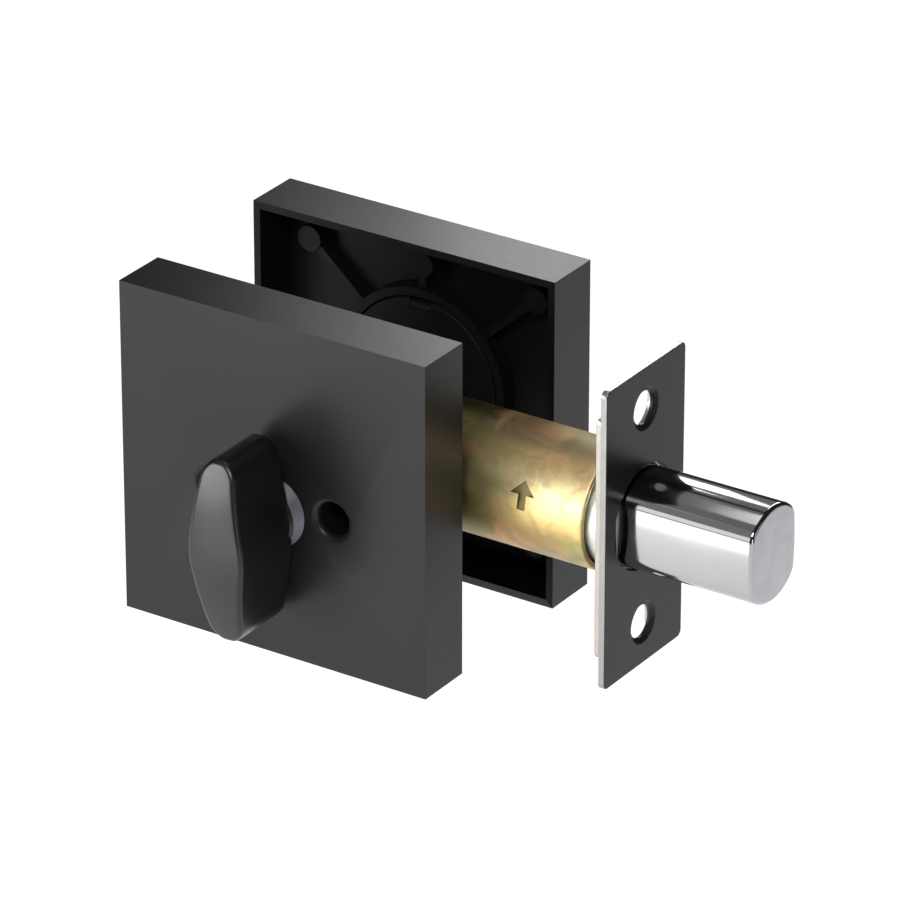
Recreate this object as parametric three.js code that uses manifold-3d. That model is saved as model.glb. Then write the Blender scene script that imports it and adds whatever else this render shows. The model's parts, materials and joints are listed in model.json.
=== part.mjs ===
// Single-cylinder deadbolt with square rosettes, shown as it sits in a door: the interior
// rosette with its thumbturn, the tubular latch with the bolt thrown, and the exterior
// rosette with its pin-tumbler cylinder.
//
// Frame, in millimetres: the origin is the centre of the door's round cross bore, midway
// between the two rosettes. +X points to the door's edge, the way the bolt is thrown,
// +Y to the exterior side and +Z up.

import * as THREE from 'three';
import { mergeVertices } from 'three/addons/utils/BufferGeometryUtils.js';
import Module from 'manifold-3d';

const wasm = await Module();
wasm.setup();

// ---------------------------------------------------------------- driving dimensions

// clearances: faces that touch, parts that turn in each other, rivets in their holes
const seat = 0.1;
const play = 0.2;
const rivetPlay = 0.1;

// how far a cut runs past the surface, and how far a joined piece sinks into its neighbour
const past = 1;
const sunk = 0.5;

// the two square rosettes
const rosetteSize = 64;
const rosetteDepth = 11.6;
const rosetteWall = 1.4;
const rosetteFace = 2.0;
const rimGap = 29.3;
const rimY = rimGap / 2;
const faceY = rimY + rosetteDepth;
const floorY = faceY - rosetteFace;
const ribWidth = 1.5;
const ribHeight = 3.2;
const postInset = 7.9;
const postRadius = 2.45;
const postHeight = 3.6;
const middlePostRise = 1.0;
const stemBossRadius = 8.9;
const stemBossHeight = 1.0;

// the turning axis of thumbturn, crank and plug, below the rosettes' centre
const spindleZ = -4.0;

// the two mounting screws
const screwX = 12.5;
const screwZ = -2.6;
const screwRadius = 1.95;
const screwHole = 2.4;
const screwHeadRadius = 3.05;
const screwHeadHeight = 2.2;
const screwTipY = 30;
const screwTipLength = 1.0;
const screwTipTaper = 0.7;
const crossReach = 1.8;
const crossHalfWidth = 0.45;
const crossFloor = 0.9;
const wellRadius = 3.4;
const wellWall = 1.7;
const wellFloorY = -18;
const wellFloor = 2.0;

// thumbturn
const bladeWidth = 12;
const bladeHeight = 34.6;
const bladeEndWidth = 6.6;
const bladeStandoff = 3.0;
const bladeFront = 18.4;
const bladeTaper = 1.0;
const bladeCrownInset = 0.6;
const bladeFullness = 0.35;
const stemRadius = 4.6;
const stemHole = 4.8;
const stemEndY = -18.6;
const stemSlotDepth = 8.0;
const collarRadius = 7.0;
const collarHeight = 2.6;
const washerRadius = 6.6;
const clipGrooveY = -22.1;
const clipGrooveWidth = 1.2;
const clipGrooveRadius = 3.7;
const clipThickness = 0.8;
const clipRadius = 6.6;
const clipMouth = 2.8;
const clipPlay = 0.15;

// tailpiece, the flat bar that joins plug, crank and thumbturn
const tailpieceWidth = 5.2;
const tailpieceThickness = 2.0;
const tailpieceTipY = -25.6;
const tailpieceDiscRadius = 4.9;
const tailpieceDiscY = 17.4;
const tailpieceDiscThickness = 0.8;

// tubular latch: everything in it is centred a little above the rosettes' centre
const latchZ = 0.4;
const spindleDrop = spindleZ - latchZ;
const screwDrop = screwZ - latchZ;
const backset = 60;
const throwLength = 25.4;
const tubeRadius = 11.35;
const tubeWall = 1.0;
const tubeFrontX = 54.2;
const tubeRearX = -19.8;
const tubeHubHole = 5.9;
const tubeScrewHole = 2.7;
const topSlotHalfLength = 18.9;
const topSlotHalfWidth = 4.6;
const topSlotFloor = 4;
const capThickness = 1.0;
const capLip = 1.9;
const capLipWall = 1.0;
const capArchHalf = 5;

// faceplate, backing plate and the sleeve that guides the bolt
const plateHeight = 57.15;
const plateWidth = 25.4;
const plateThickness = 1.2;
const plateCorner = 1.2;
const plateScrewSpacing = 41.3;
const plateScrewHole = 3.1;
const plateCountersink = 4.0;
const plateHoleLand = 0.5;
const plateOpening = 9.7;
const backingHeight = 46;
const backingInset = 0.3;
const backingThickness = 1.0;
const backingFrontX = backset - plateThickness - seat;
const backingNotch = 4.1;
const sleeveRadius = 10.2;
const sleeveRearX = 49;

// bolt, with a hardened pin turning in it, and the flat link riveted to its rear
const boltRadius = 9.15;
const boltHalfWidth = 7.4;
const boltRearX = 41;
const boltNose = backset + 0.6 + throwLength;
const boltChamfer = 0.6;
const noseInset = boltChamfer * 0.6;
const rollerRadius = 3.0;
const rollerDrop = -2.6;
const rollerEndWall = 4.0;
const linkHalfThickness = 1.0;
const linkGrip = 8.6;
const linkBottom = 2.4;
const linkTop = 9.0;
const linkEyeHalf = 4.4;
const linkEyeWall = 2.0;
const linkSlotHalf = 2.15;
const linkSlotPlay = 0.3;
const linkHeel = [-2.1, -0.3];
const linkHeelBottom = -0.1;
const boltSlotDepth = 9;
const boltSlotHalf = 1.2;
const boltSlotFloor = 2.0;
const rivetRadius = 1.2;
const linkRivets = [boltRearX + 2.8, boltRearX + 6.4];
const linkRivetZ = 5.2;
const linkRivetHalf = 6.6;

// crank: its arms swing 45 degrees either side of upright
const crankHalfSwing = Math.PI / 4;
const crankArm = throwLength / 2 / Math.sin(crankHalfSwing);
const hubRadius = 4.9;
const hubHalfWidth = 3.6;
const journalRadius = 3.6;
const journalHalfWidth = 5.6;
const armInner = 1.3;
const armOuter = 3.3;
const armEye = 3.2;
const pinRadius = 1.5;
const pinHalfLength = 3.7;

// the two flat cheeks that carry the crank's journals
const cheekInner = 3.9;
const cheekOuter = 4.9;
const cheekHalfLength = 14.9;
const cheekSpanZ = [-9.0, 8.9];
const cheekNotch = 4;
const cheekRivetSpots = [[-7.8, spindleDrop - 2.7], [7.8, spindleDrop - 2.7]];
const spacerRadius = 1.7;

// cylinder: housing, guard ring and plug
const housingZ = 2.6;
const housingLift = housingZ - spindleZ;
const housingRadius = 15.8;
const housingPlay = 0.3;
const housingRearY = 20.3;
const housingFrontY = 38.2;
const flangeRadius = 17.4;
const flangeFrontY = 39.6;
const guardBaseRadius = 18.8;
const guardTipRadius = 17.8;
const bossRadius = 17.7;
const plugRadius = 6.2;
const plugPlay = 0.15;
const plugFaceRadius = 7.6;
const plugFaceY = 37.9;
const plugFrontY = 40.2;
const plugRearY = 18.5;
const plugStubRadius = 5.1;
const keywayWidth = 2.2;
const keywayTop = 2.6;
const keywayFloor = 0.9;
const keywayRear = 1.2;
const plugCapRadius = 7.4;
const plugCapRearY = 16.6;
const plugCapFloor = 0.5;
const plugCapHole = 3.6;

// pin tumblers
const pinCount = 5;
const pinPitch = 3.2;
const firstPinY = 35.0;
const tumblerRadius = 1.4;
const tumblerTip = 0.8;
const tumblerTipHeight = 0.5;
const chamberRadius = 1.6;
const chamberTopZ = 20.4;
const chamberFloor = 0.8;
const keyPinLengths = [3.4, 4.6, 3.8, 4.9, 4.2];
const driverLength = 4.6;
const springTurns = 4;
const springRadius = 1.05;
const springWire = 0.18;
const springPlay = 0.15;
const coverWidth = 4.4;
const coverThickness = 1.1;
const coverFrontY = firstPinY + 2.3;

// how finely round shapes are divided
const fine = 32;
const medium = 20;
const coarse = 12;
const curveSteps = 6;
const boltCurveSteps = 8;
const bladeCurveSteps = 5;
const springSides = 5;
const springSteps = 8;

// ---------------------------------------------------------------- materials

function finish(color, roughness, metalness) {
  return new THREE.MeshStandardMaterial({ color, roughness, metalness });
}

const satinBlack = () => finish(0x303031, 0.42, 0.55);
const chrome = () => finish(0xd6d7da, 0.12, 1.0);
const nickel = () => finish(0xb9b7c2, 0.3, 1.0);
const yellowZinc = () => finish(0xb8a56c, 0.32, 1.0);
const clearZinc = () => finish(0xa9aeb0, 0.35, 1.0);
const brass = () => finish(0xb4904a, 0.3, 1.0);
const hardSteel = () => finish(0x77787c, 0.35, 1.0);

// ---------------------------------------------------------------- shape helpers

// a closed geometry as a solid that can be joined and cut
function solid(geometry) {
  const bare = geometry.clone();
  bare.deleteAttribute('normal');
  bare.deleteAttribute('uv');
  const merged = mergeVertices(bare, 1e-5);
  const vertProperties = new Float32Array(merged.attributes.position.array);
  const triVerts = new Uint32Array(merged.index.array);
  return new wasm.Manifold(new wasm.Mesh({ numProp: 3, vertProperties, triVerts }));
}

// a solid back as a geometry
function geometryOf(body) {
  const mesh = body.getMesh();
  const geometry = new THREE.BufferGeometry();
  geometry.setAttribute('position', new THREE.BufferAttribute(mesh.vertProperties, 3));
  geometry.setIndex(new THREE.BufferAttribute(mesh.triVerts, 1));
  geometry.computeVertexNormals();
  return geometry;
}

function degrees(angle) {
  return THREE.MathUtils.radToDeg(angle);
}

// a span grown by the same amount at both ends
function grown([low, high], extra) {
  return [low - extra, high + extra];
}

// a span that is the same either side of nought
function both(half) {
  return [-half, half];
}

function block([x0, x1], [y0, y1], [z0, z1]) {
  const box = new THREE.BoxGeometry(x1 - x0, y1 - y0, z1 - z0);
  box.translate((x0 + x1) / 2, (y0 + y1) / 2, (z0 + z1) / 2);
  return solid(box);
}

// round bars along Y, X and Z; radii may differ at the two ends
function roundY(radius, [y0, y1], x = 0, z = 0, sides = medium, endRadius = radius) {
  const bar = new THREE.CylinderGeometry(endRadius, radius, y1 - y0, sides);
  bar.translate(x, (y0 + y1) / 2, z);
  return solid(bar);
}

function roundX(radius, [x0, x1], y = 0, z = 0, sides = fine, endRadius = radius) {
  const bar = new THREE.CylinderGeometry(endRadius, radius, x1 - x0, sides);
  bar.rotateZ(-Math.PI / 2);
  bar.translate((x0 + x1) / 2, y, z);
  return solid(bar);
}

function roundZ(radius, [z0, z1], x = 0, y = 0, sides = coarse, endRadius = radius) {
  const bar = new THREE.CylinderGeometry(endRadius, radius, z1 - z0, sides);
  bar.rotateX(Math.PI / 2);
  bar.translate(x, y, (z0 + z1) / 2);
  return solid(bar);
}

// an outline in (x, z) carried along Y
function slabY(shape, [y0, y1], curveSegments = curveSteps) {
  const slab = new THREE.ExtrudeGeometry(shape, { depth: y1 - y0, bevelEnabled: false, curveSegments });
  slab.rotateX(Math.PI / 2);
  slab.translate(0, y1, 0);
  return solid(slab);
}

// an outline in (y, z) carried along X
function slabX(shape, [x0, x1], curveSegments = curveSteps) {
  const slab = new THREE.ExtrudeGeometry(shape, { depth: x1 - x0, bevelEnabled: false, curveSegments });
  const turn = new THREE.Matrix4().makeBasis(
    new THREE.Vector3(0, 1, 0),
    new THREE.Vector3(0, 0, 1),
    new THREE.Vector3(1, 0, 0),
  );
  slab.applyMatrix4(turn);
  slab.translate(x0, 0, 0);
  return solid(slab);
}

function roundedRectangle(halfWidth, halfHeight, radius) {
  const shape = new THREE.Shape();
  const corners = [[1, 1], [-1, 1], [-1, -1], [1, -1]];
  corners.forEach(([sideU, sideV], quarter) => {
    const start = quarter * Math.PI / 2;
    const u = sideU * (halfWidth - radius);
    const v = sideV * (halfHeight - radius);
    shape.absarc(u, v, radius, start, start + Math.PI / 2);
  });
  shape.closePath();
  return shape;
}

// a circle with its two sides cut flat, the section of the bolt
function flattedCircle(radius, halfWidth) {
  const cut = Math.acos(halfWidth / radius);
  const shape = new THREE.Shape();
  shape.absarc(0, 0, radius, cut, Math.PI - cut);
  shape.absarc(0, 0, radius, Math.PI + cut, 2 * Math.PI - cut);
  shape.closePath();
  return shape;
}

const root = new THREE.Group();
const latch = new THREE.Group();
latch.position.set(0, 0, latchZ);
const spindle = new THREE.Group();
spindle.position.set(0, 0, spindleZ);
root.add(latch, spindle);

function place(parent, name, body, material, x = 0, z = 0) {
  const mesh = new THREE.Mesh(geometryOf(body), material);
  mesh.name = name;
  mesh.position.set(x, 0, z);
  parent.add(mesh);
}

// ---------------------------------------------------------------- rosettes

// a span measured from the door outwards, on the interior (-1) or exterior (+1) side
function outwards(side, near, far) {
  return side > 0 ? [near, far] : [-far, -near];
}

// an open square shell, with its face away from the door
function rosetteShell(side) {
  const half = rosetteSize / 2;
  const hollow = half - rosetteWall;
  const shell = block(both(half), outwards(side, rimY, faceY), both(half));
  return shell.subtract(block(both(hollow), outwards(side, rimY - past, floorY), both(hollow)));
}

// posts in the corners and above and below, each joined to the middle by a rib
function ribsAndPosts(side, centreZ, reach) {
  const post = rosetteSize / 2 - postInset;
  const middle = post + middlePostRise;
  const spots = [[post, post], [-post, post], [-post, -post], [post, -post], [0, middle], [0, -middle]];
  const ribSpan = outwards(side, floorY - ribHeight, floorY + sunk);
  const postSpan = outwards(side, floorY - postHeight, floorY + sunk);
  const pieces = spots.map(([x, z]) => {
    const angle = Math.atan2(z - centreZ, x);
    const bar = block([reach, Math.hypot(x, z - centreZ)], ribSpan, both(ribWidth / 2));
    const rib = bar.rotate([0, -degrees(angle), 0]).translate([0, 0, centreZ]);
    return rib.add(roundY(postRadius, postSpan, x, z, coarse));
  });
  return pieces.reduce((all, piece) => all.add(piece));
}

function interiorRosette() {
  const through = [-faceY - past, wellFloorY + wellFloor + past];
  const ribs = ribsAndPosts(-1, spindleZ, stemBossRadius - sunk);
  const stemBoss = roundY(stemBossRadius, [-floorY - sunk, -floorY + stemBossHeight], 0, spindleZ);
  let body = rosetteShell(-1).add(ribs).add(stemBoss);
  for (const x of both(screwX)) {
    body = body.add(roundY(wellRadius + wellWall, [-floorY - sunk, wellFloorY + wellFloor], x, screwZ));
  }
  for (const x of both(screwX)) {
    body = body.subtract(roundY(wellRadius, [-faceY - past, wellFloorY], x, screwZ));
    body = body.subtract(roundY(screwHole, through, x, screwZ, coarse));
  }
  return body.subtract(roundY(stemHole, through, 0, spindleZ));
}

function exteriorRosette() {
  const ribs = ribsAndPosts(1, housingZ, bossRadius - sunk);
  const boss = roundY(bossRadius, [housingRearY + play, floorY + sunk], 0, housingZ, fine);
  const hole = roundY(housingRadius + housingPlay, [rimY, faceY + past], 0, housingZ, fine);
  return rosetteShell(1).add(ribs).add(boss).subtract(hole);
}

place(root, 'interior_rosette', interiorRosette(), satinBlack());
place(root, 'exterior_rosette', exteriorRosette(), satinBlack());

// ---------------------------------------------------------------- mounting screws

function mountingScrew() {
  const headTop = wellFloorY - screwHeadHeight;
  const taperStart = screwTipY - screwTipLength;
  const head = roundY(screwHeadRadius, [headTop, wellFloorY - seat]);
  const shank = roundY(screwRadius, [wellFloorY - sunk, taperStart], 0, 0, coarse);
  const tip = roundY(screwRadius, [taperStart, screwTipY], 0, 0, coarse, screwRadius - screwTipTaper);
  const recess = [headTop - past, wellFloorY - crossFloor];
  const across = block(both(crossReach), recess, both(crossHalfWidth));
  const upright = block(both(crossHalfWidth), recess, both(crossReach));
  return head.add(shank).add(tip).subtract(across.add(upright));
}

place(root, 'mounting_screw_left', mountingScrew(), satinBlack(), -screwX, screwZ);
place(root, 'mounting_screw_right', mountingScrew(), satinBlack(), screwX, screwZ);

// ---------------------------------------------------------------- thumbturn

// the blade seen from the room: widest at mid-height, blunt rounded ends
function bladeShape(inset) {
  const half = bladeWidth / 2 - inset;
  const end = bladeEndWidth / 2 - inset;
  const shoulder = bladeHeight / 2 - inset - end;
  const pull = shoulder * bladeFullness;
  const shape = new THREE.Shape();
  shape.moveTo(half, 0);
  shape.quadraticCurveTo(half, pull, end, shoulder);
  shape.absarc(0, shoulder, end, 0, Math.PI);
  shape.quadraticCurveTo(-half, pull, -half, 0);
  shape.quadraticCurveTo(-half, -pull, -end, -shoulder);
  shape.absarc(0, -shoulder, end, Math.PI, 2 * Math.PI);
  shape.quadraticCurveTo(half, -pull, half, 0);
  return shape;
}

function thumbturn() {
  const rear = -faceY - bladeStandoff;
  const front = -faceY - bladeFront;
  const shoulderY = front + bladeTaper;
  const blade = slabY(bladeShape(0), [shoulderY, rear], bladeCurveSteps);
  const crown = slabY(bladeShape(bladeCrownInset), [front, shoulderY + sunk], bladeCurveSteps);
  const stem = roundY(stemRadius, [rear - sunk, stemEndY]);
  const slotX = both(tailpieceThickness / 2 + play);
  const slotZ = both(tailpieceWidth / 2 + play);
  const slot = block(slotX, [stemEndY - stemSlotDepth, stemEndY + past], slotZ);
  const grooveSpan = [clipGrooveY, clipGrooveY + clipGrooveWidth];
  const groove = roundY(stemRadius + past, grooveSpan).subtract(roundY(clipGrooveRadius, grooveSpan));
  return blade.add(crown).add(stem).subtract(slot).subtract(groove);
}

function ring(outer, inner, span, sides = medium) {
  return roundY(outer, span, 0, 0, sides).subtract(roundY(inner, grown(span, past), 0, 0, sides));
}

function thumbturnCollar() {
  return ring(collarRadius, stemRadius + play, [-faceY - collarHeight, -faceY - seat], fine);
}

function thumbturnWasher() {
  return ring(washerRadius, stemHole + seat, [-floorY + stemBossHeight + seat, clipGrooveY - seat]);
}

function stemClip() {
  const start = clipGrooveY + (clipGrooveWidth - clipThickness) / 2;
  const span = [start, start + clipThickness];
  const mouth = block(both(clipMouth), grown(span, past), [-clipRadius - past, 0]);
  return ring(clipRadius, clipGrooveRadius + clipPlay, span).subtract(mouth);
}

place(spindle, 'thumbturn', thumbturn(), satinBlack());
place(spindle, 'thumbturn_collar', thumbturnCollar(), nickel());
place(spindle, 'thumbturn_washer', thumbturnWasher(), clearZinc());
place(spindle, 'thumbturn_clip', stemClip(), hardSteel());

// ---------------------------------------------------------------- tubular latch

function latchTube() {
  const across = both(tubeRadius + past);
  const bore = roundX(tubeRadius - tubeWall, [tubeRearX - past, tubeFrontX + past]);
  const topSlot = block(both(topSlotHalfLength), both(topSlotHalfWidth), [topSlotFloor, tubeRadius + past]);
  let tube = roundX(tubeRadius, [tubeRearX, tubeFrontX]).subtract(bore).subtract(topSlot);
  tube = tube.subtract(roundY(tubeHubHole, across, 0, spindleDrop));
  for (const x of both(screwX)) {
    tube = tube.subtract(roundY(tubeScrewHole, across, x, screwDrop, coarse));
  }
  return tube;
}

function tubeEndCap() {
  const rear = tubeRearX - seat;
  const lipRadius = tubeRadius - tubeWall - seat;
  const lid = roundX(tubeRadius, [rear - capThickness, rear]);
  const lip = roundX(lipRadius, [rear - sunk, tubeRearX + capLip]);
  const bore = roundX(lipRadius - capLipWall, [rear, tubeRearX + capLip + past]);
  const arch = block([rear, tubeRearX + capLip + past], both(capArchHalf), [capArchHalf, tubeRadius]);
  return lid.add(lip.subtract(bore).subtract(arch));
}

function cheek(side) {
  const through = both(cheekOuter + past);
  let plate = block(both(cheekHalfLength), outwards(side, cheekInner, cheekOuter), cheekSpanZ);
  plate = plate.subtract(roundY(journalRadius + rivetPlay, through, 0, spindleDrop));
  for (const x of both(screwX)) {
    const hole = roundY(screwHole, through, x, screwDrop, coarse);
    const open = x > 0 ? [x, x + cheekNotch] : [x - cheekNotch, x];
    const notch = block(open, through, [screwDrop - screwHole, screwDrop + screwHole]);
    plate = plate.subtract(hole).subtract(notch);
  }
  for (const [x, z] of cheekRivetSpots) {
    plate = plate.subtract(roundY(rivetRadius + rivetPlay, through, x, z, coarse));
  }
  return plate;
}

function cheekRivet(x, z) {
  const shank = roundY(rivetRadius, both(cheekOuter + sunk), x, z, coarse);
  return shank.add(roundY(spacerRadius, both(cheekInner - seat), x, z, coarse));
}

function faceplate() {
  const span = [backset - plateThickness, backset];
  const through = grown(span, past);
  const sinkSpan = [span[0] + plateHoleLand, backset];
  let plate = slabX(roundedRectangle(plateWidth / 2, plateHeight / 2, plateCorner), span);
  plate = plate.subtract(roundX(plateOpening, through));
  for (const z of both(plateScrewSpacing / 2)) {
    plate = plate.subtract(roundX(plateScrewHole, through, 0, z, medium));
    plate = plate.subtract(roundX(plateScrewHole, sinkSpan, 0, z, medium, plateCountersink));
  }
  return plate;
}

function backingPlate() {
  const span = [backingFrontX - backingThickness, backingFrontX];
  const through = grown(span, past);
  const shape = roundedRectangle(plateWidth / 2 - backingInset, backingHeight / 2, plateCorner);
  let plate = slabX(shape, span).subtract(roundX(sleeveRadius + seat, through));
  for (const z of both(plateScrewSpacing / 2)) {
    const open = z > 0 ? [z, backingHeight] : [-backingHeight, z];
    plate = plate.subtract(roundX(backingNotch, through, 0, z, medium));
    plate = plate.subtract(block(through, both(backingNotch), open));
  }
  return plate;
}

function boltSleeve() {
  const span = [sleeveRearX, backingFrontX];
  const bore = flattedCircle(boltRadius + play, boltHalfWidth + play);
  return roundX(sleeveRadius, span).subtract(slabX(bore, grown(span, past), boltCurveSteps));
}

function rollerPin() {
  return roundX(rollerRadius, [boltRearX + play, boltNose - rollerEndWall - sunk], 0, rollerDrop, medium);
}

function deadbolt() {
  const shoulder = boltNose - boltChamfer;
  const body = slabX(flattedCircle(boltRadius, boltHalfWidth), [boltRearX, shoulder], boltCurveSteps);
  const noseSection = flattedCircle(boltRadius - noseInset, boltHalfWidth - noseInset);
  const nose = slabX(noseSection, [shoulder - sunk, boltNose], boltCurveSteps);
  const rollerSpan = [boltRearX - past, boltNose - rollerEndWall];
  const rollerBore = roundX(rollerRadius + seat, rollerSpan, 0, rollerDrop, medium);
  const slotX = [boltRearX - past, boltRearX + boltSlotDepth];
  const slot = block(slotX, both(boltSlotHalf), [boltSlotFloor, boltRadius + past]);
  let bolt = body.add(nose).subtract(rollerBore).subtract(slot);
  for (const x of linkRivets) {
    bolt = bolt.subtract(roundY(rivetRadius + rivetPlay, both(boltRadius), x, linkRivetZ, coarse));
  }
  return bolt;
}

// the flat link: its front is riveted in the bolt, its rear has the slot for the crank pin
function boltTail() {
  const thickness = both(linkHalfThickness);
  const slotX = crankArm * Math.sin(crankHalfSwing);
  const pinLow = crankArm * Math.cos(crankHalfSwing) + spindleDrop;
  const pinHigh = crankArm + spindleDrop;
  const bar = block([slotX, boltRearX + linkGrip], thickness, [linkBottom, linkTop]);
  const eyeX = [slotX - linkEyeHalf, slotX + linkEyeHalf];
  const eye = block(eyeX, thickness, [linkBottom, pinHigh + pinRadius + linkEyeWall]);
  const heelX = [boltRearX + linkHeel[0], boltRearX + linkHeel[1]];
  const heel = block(heelX, thickness, [linkHeelBottom, linkTop]);
  const slotSpan = grown([pinLow, pinHigh], pinRadius + linkSlotPlay);
  const slot = block([slotX - linkSlotHalf, slotX + linkSlotHalf], grown(thickness, past), slotSpan);
  let link = bar.add(eye).add(heel).subtract(slot);
  for (const x of linkRivets) {
    link = link.subtract(roundY(rivetRadius + rivetPlay, grown(thickness, past), x, linkRivetZ, coarse));
  }
  return link;
}

place(latch, 'latch_tube', latchTube(), yellowZinc());
place(latch, 'tube_end_cap', tubeEndCap(), yellowZinc());
place(latch, 'cheek_interior', cheek(-1), clearZinc());
place(latch, 'cheek_exterior', cheek(1), clearZinc());
cheekRivetSpots.forEach(([x, z], i) => {
  place(latch, `cheek_rivet_${i + 1}`, cheekRivet(x, z), clearZinc());
});
place(latch, 'faceplate', faceplate(), satinBlack());
place(latch, 'backing_plate', backingPlate(), clearZinc());
place(latch, 'bolt_sleeve', boltSleeve(), clearZinc());
place(latch, 'deadbolt', deadbolt(), chrome());
place(latch, 'roller_pin', rollerPin(), hardSteel());
place(latch, 'bolt_tail', boltTail(), clearZinc());
linkRivets.forEach((x, i) => {
  const rivet = roundY(rivetRadius, both(linkRivetHalf), x, linkRivetZ, coarse);
  place(latch, `tail_rivet_${i + 1}`, rivet, hardSteel());
});

// the arm's outline, upright: two circles joined by their tangents
function armShape() {
  const taper = Math.asin((hubRadius - armEye) / crankArm);
  const shape = new THREE.Shape();
  shape.absarc(0, crankArm, armEye, taper, Math.PI - taper);
  shape.absarc(0, 0, hubRadius, Math.PI - taper, 2 * Math.PI + taper);
  shape.closePath();
  return shape;
}

// the crank is drawn upright and turned to the thrown position
function crank() {
  const hub = roundY(hubRadius, both(hubHalfWidth));
  const journal = roundY(journalRadius, both(journalHalfWidth));
  const near = slabY(armShape(), [-armOuter, -armInner]);
  const far = slabY(armShape(), [armInner, armOuter]);
  const eye = roundY(pinRadius + rivetPlay, both(armOuter + past), 0, crankArm, coarse);
  const upright = hub.add(journal).add(near).add(far).subtract(eye);
  const slotX = both(tailpieceThickness / 2 + play);
  const slotZ = both(tailpieceWidth / 2 + play);
  const slot = block(slotX, both(journalHalfWidth + past), slotZ);
  return upright.rotate([0, degrees(crankHalfSwing), 0]).subtract(slot);
}

function crankPin() {
  const reach = crankArm * Math.sin(crankHalfSwing);
  return roundY(pinRadius, both(pinHalfLength), reach, reach, coarse);
}

place(spindle, 'crank', crank(), hardSteel());
place(spindle, 'crank_pin', crankPin(), hardSteel());

// ---------------------------------------------------------------- cylinder

function tailpiece() {
  const barSpan = [tailpieceTipY, tailpieceDiscY + tailpieceDiscThickness];
  const bar = block(both(tailpieceThickness / 2), barSpan, both(tailpieceWidth / 2));
  return bar.add(roundY(tailpieceDiscRadius, [tailpieceDiscY, tailpieceDiscY + tailpieceDiscThickness]));
}

function pinY(index) {
  return firstPinY - index * pinPitch;
}

function cylinderHousing() {
  const body = roundY(housingRadius, [housingRearY, flangeFrontY], 0, housingLift, fine);
  const flange = roundY(flangeRadius, [housingFrontY + seat, flangeFrontY], 0, housingLift, fine);
  const plugBore = roundY(plugRadius + plugPlay, [housingRearY - past, flangeFrontY + past], 0, 0, fine);
  const faceBore = roundY(plugFaceRadius + plugPlay, [plugFaceY - play, flangeFrontY + past], 0, 0, fine);
  const slotY = [housingRearY - past, coverFrontY + seat];
  const slotZ = [chamberTopZ, housingLift + housingRadius + past];
  const coverSlot = block(both(coverWidth / 2 + seat), slotY, slotZ);
  let housing = body.add(flange).subtract(plugBore).subtract(faceBore).subtract(coverSlot);
  for (let i = 0; i < pinCount; i += 1) {
    housing = housing.subtract(roundZ(chamberRadius, [0, chamberTopZ + past], 0, pinY(i)));
  }
  const tapped = [housingRearY - past, screwTipY + past];
  for (const x of both(screwX)) {
    housing = housing.subtract(roundY(screwRadius + seat, tapped, x, screwZ - spindleZ, coarse));
  }
  return housing;
}

function pinCover() {
  const low = chamberTopZ + seat;
  return block(both(coverWidth / 2), [housingRearY + seat, coverFrontY], [low, low + coverThickness]);
}

function cylinderGuard() {
  const span = [faceY + seat, housingFrontY];
  const wall = roundY(guardBaseRadius, span, 0, housingLift, fine, guardTipRadius);
  const bore = roundY(housingRadius + housingPlay, grown(span, past), 0, housingLift, fine);
  return wall.subtract(bore);
}

function cylinderPlug() {
  const barrel = roundY(plugRadius, [housingRearY - seat, plugFrontY], 0, 0, fine);
  const face = roundY(plugFaceRadius, [plugFaceY, plugFrontY], 0, 0, fine);
  const stub = roundY(plugStubRadius, [plugRearY, housingRearY]);
  const keywayY = [housingRearY + keywayRear, plugFrontY + past];
  const keyway = block(both(keywayWidth / 2), keywayY, [keywayFloor - plugRadius, keywayTop]);
  let plug = barrel.add(face).add(stub).subtract(keyway);
  for (let i = 0; i < pinCount; i += 1) {
    plug = plug.subtract(roundZ(chamberRadius, [chamberFloor, plugRadius + past], 0, pinY(i)));
  }
  return plug;
}

function plugCap() {
  const innerY = plugCapRearY + plugCapFloor;
  const cup = roundY(plugCapRadius, [plugCapRearY, housingRearY - housingPlay]);
  const bore = roundY(plugStubRadius + plugPlay, [innerY, housingRearY]);
  return cup.subtract(bore).subtract(roundY(plugCapHole, [plugCapRearY - past, innerY + past]));
}

function keyPin(length, y) {
  const top = plugRadius - plugPlay;
  const neck = top - length + tumblerTipHeight;
  const tip = roundZ(tumblerTip, [top - length, neck], 0, y, coarse, tumblerRadius);
  return tip.add(roundZ(tumblerRadius, [neck - seat, top], 0, y));
}

class SpringCurve extends THREE.Curve {
  constructor(low, high, y) {
    super();
    this.low = low;
    this.high = high;
    this.y = y;
  }

  getPoint(t) {
    const angle = t * springTurns * 2 * Math.PI;
    const z = THREE.MathUtils.lerp(this.low, this.high, t);
    return new THREE.Vector3(springRadius * Math.cos(angle), this.y + springRadius * Math.sin(angle), z);
  }
}

function pinSpring(low, high, y) {
  const section = new THREE.Shape();
  for (let i = 0; i < springSides; i += 1) {
    const angle = i * 2 * Math.PI / springSides;
    const corner = [springWire * Math.cos(angle), springWire * Math.sin(angle)];
    if (i === 0) section.moveTo(...corner);
    else section.lineTo(...corner);
  }
  const inset = springWire + springPlay;
  const path = new SpringCurve(low + inset, high - inset, y);
  const steps = springTurns * springSteps;
  return solid(new THREE.ExtrudeGeometry(section, { steps, extrudePath: path }));
}

place(spindle, 'tailpiece', tailpiece(), hardSteel());
place(spindle, 'cylinder_housing', cylinderHousing(), satinBlack());
place(spindle, 'pin_cover', pinCover(), satinBlack());
place(spindle, 'cylinder_guard', cylinderGuard(), satinBlack());
place(spindle, 'cylinder_plug', cylinderPlug(), brass());
place(spindle, 'plug_cap', plugCap(), hardSteel());

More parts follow.
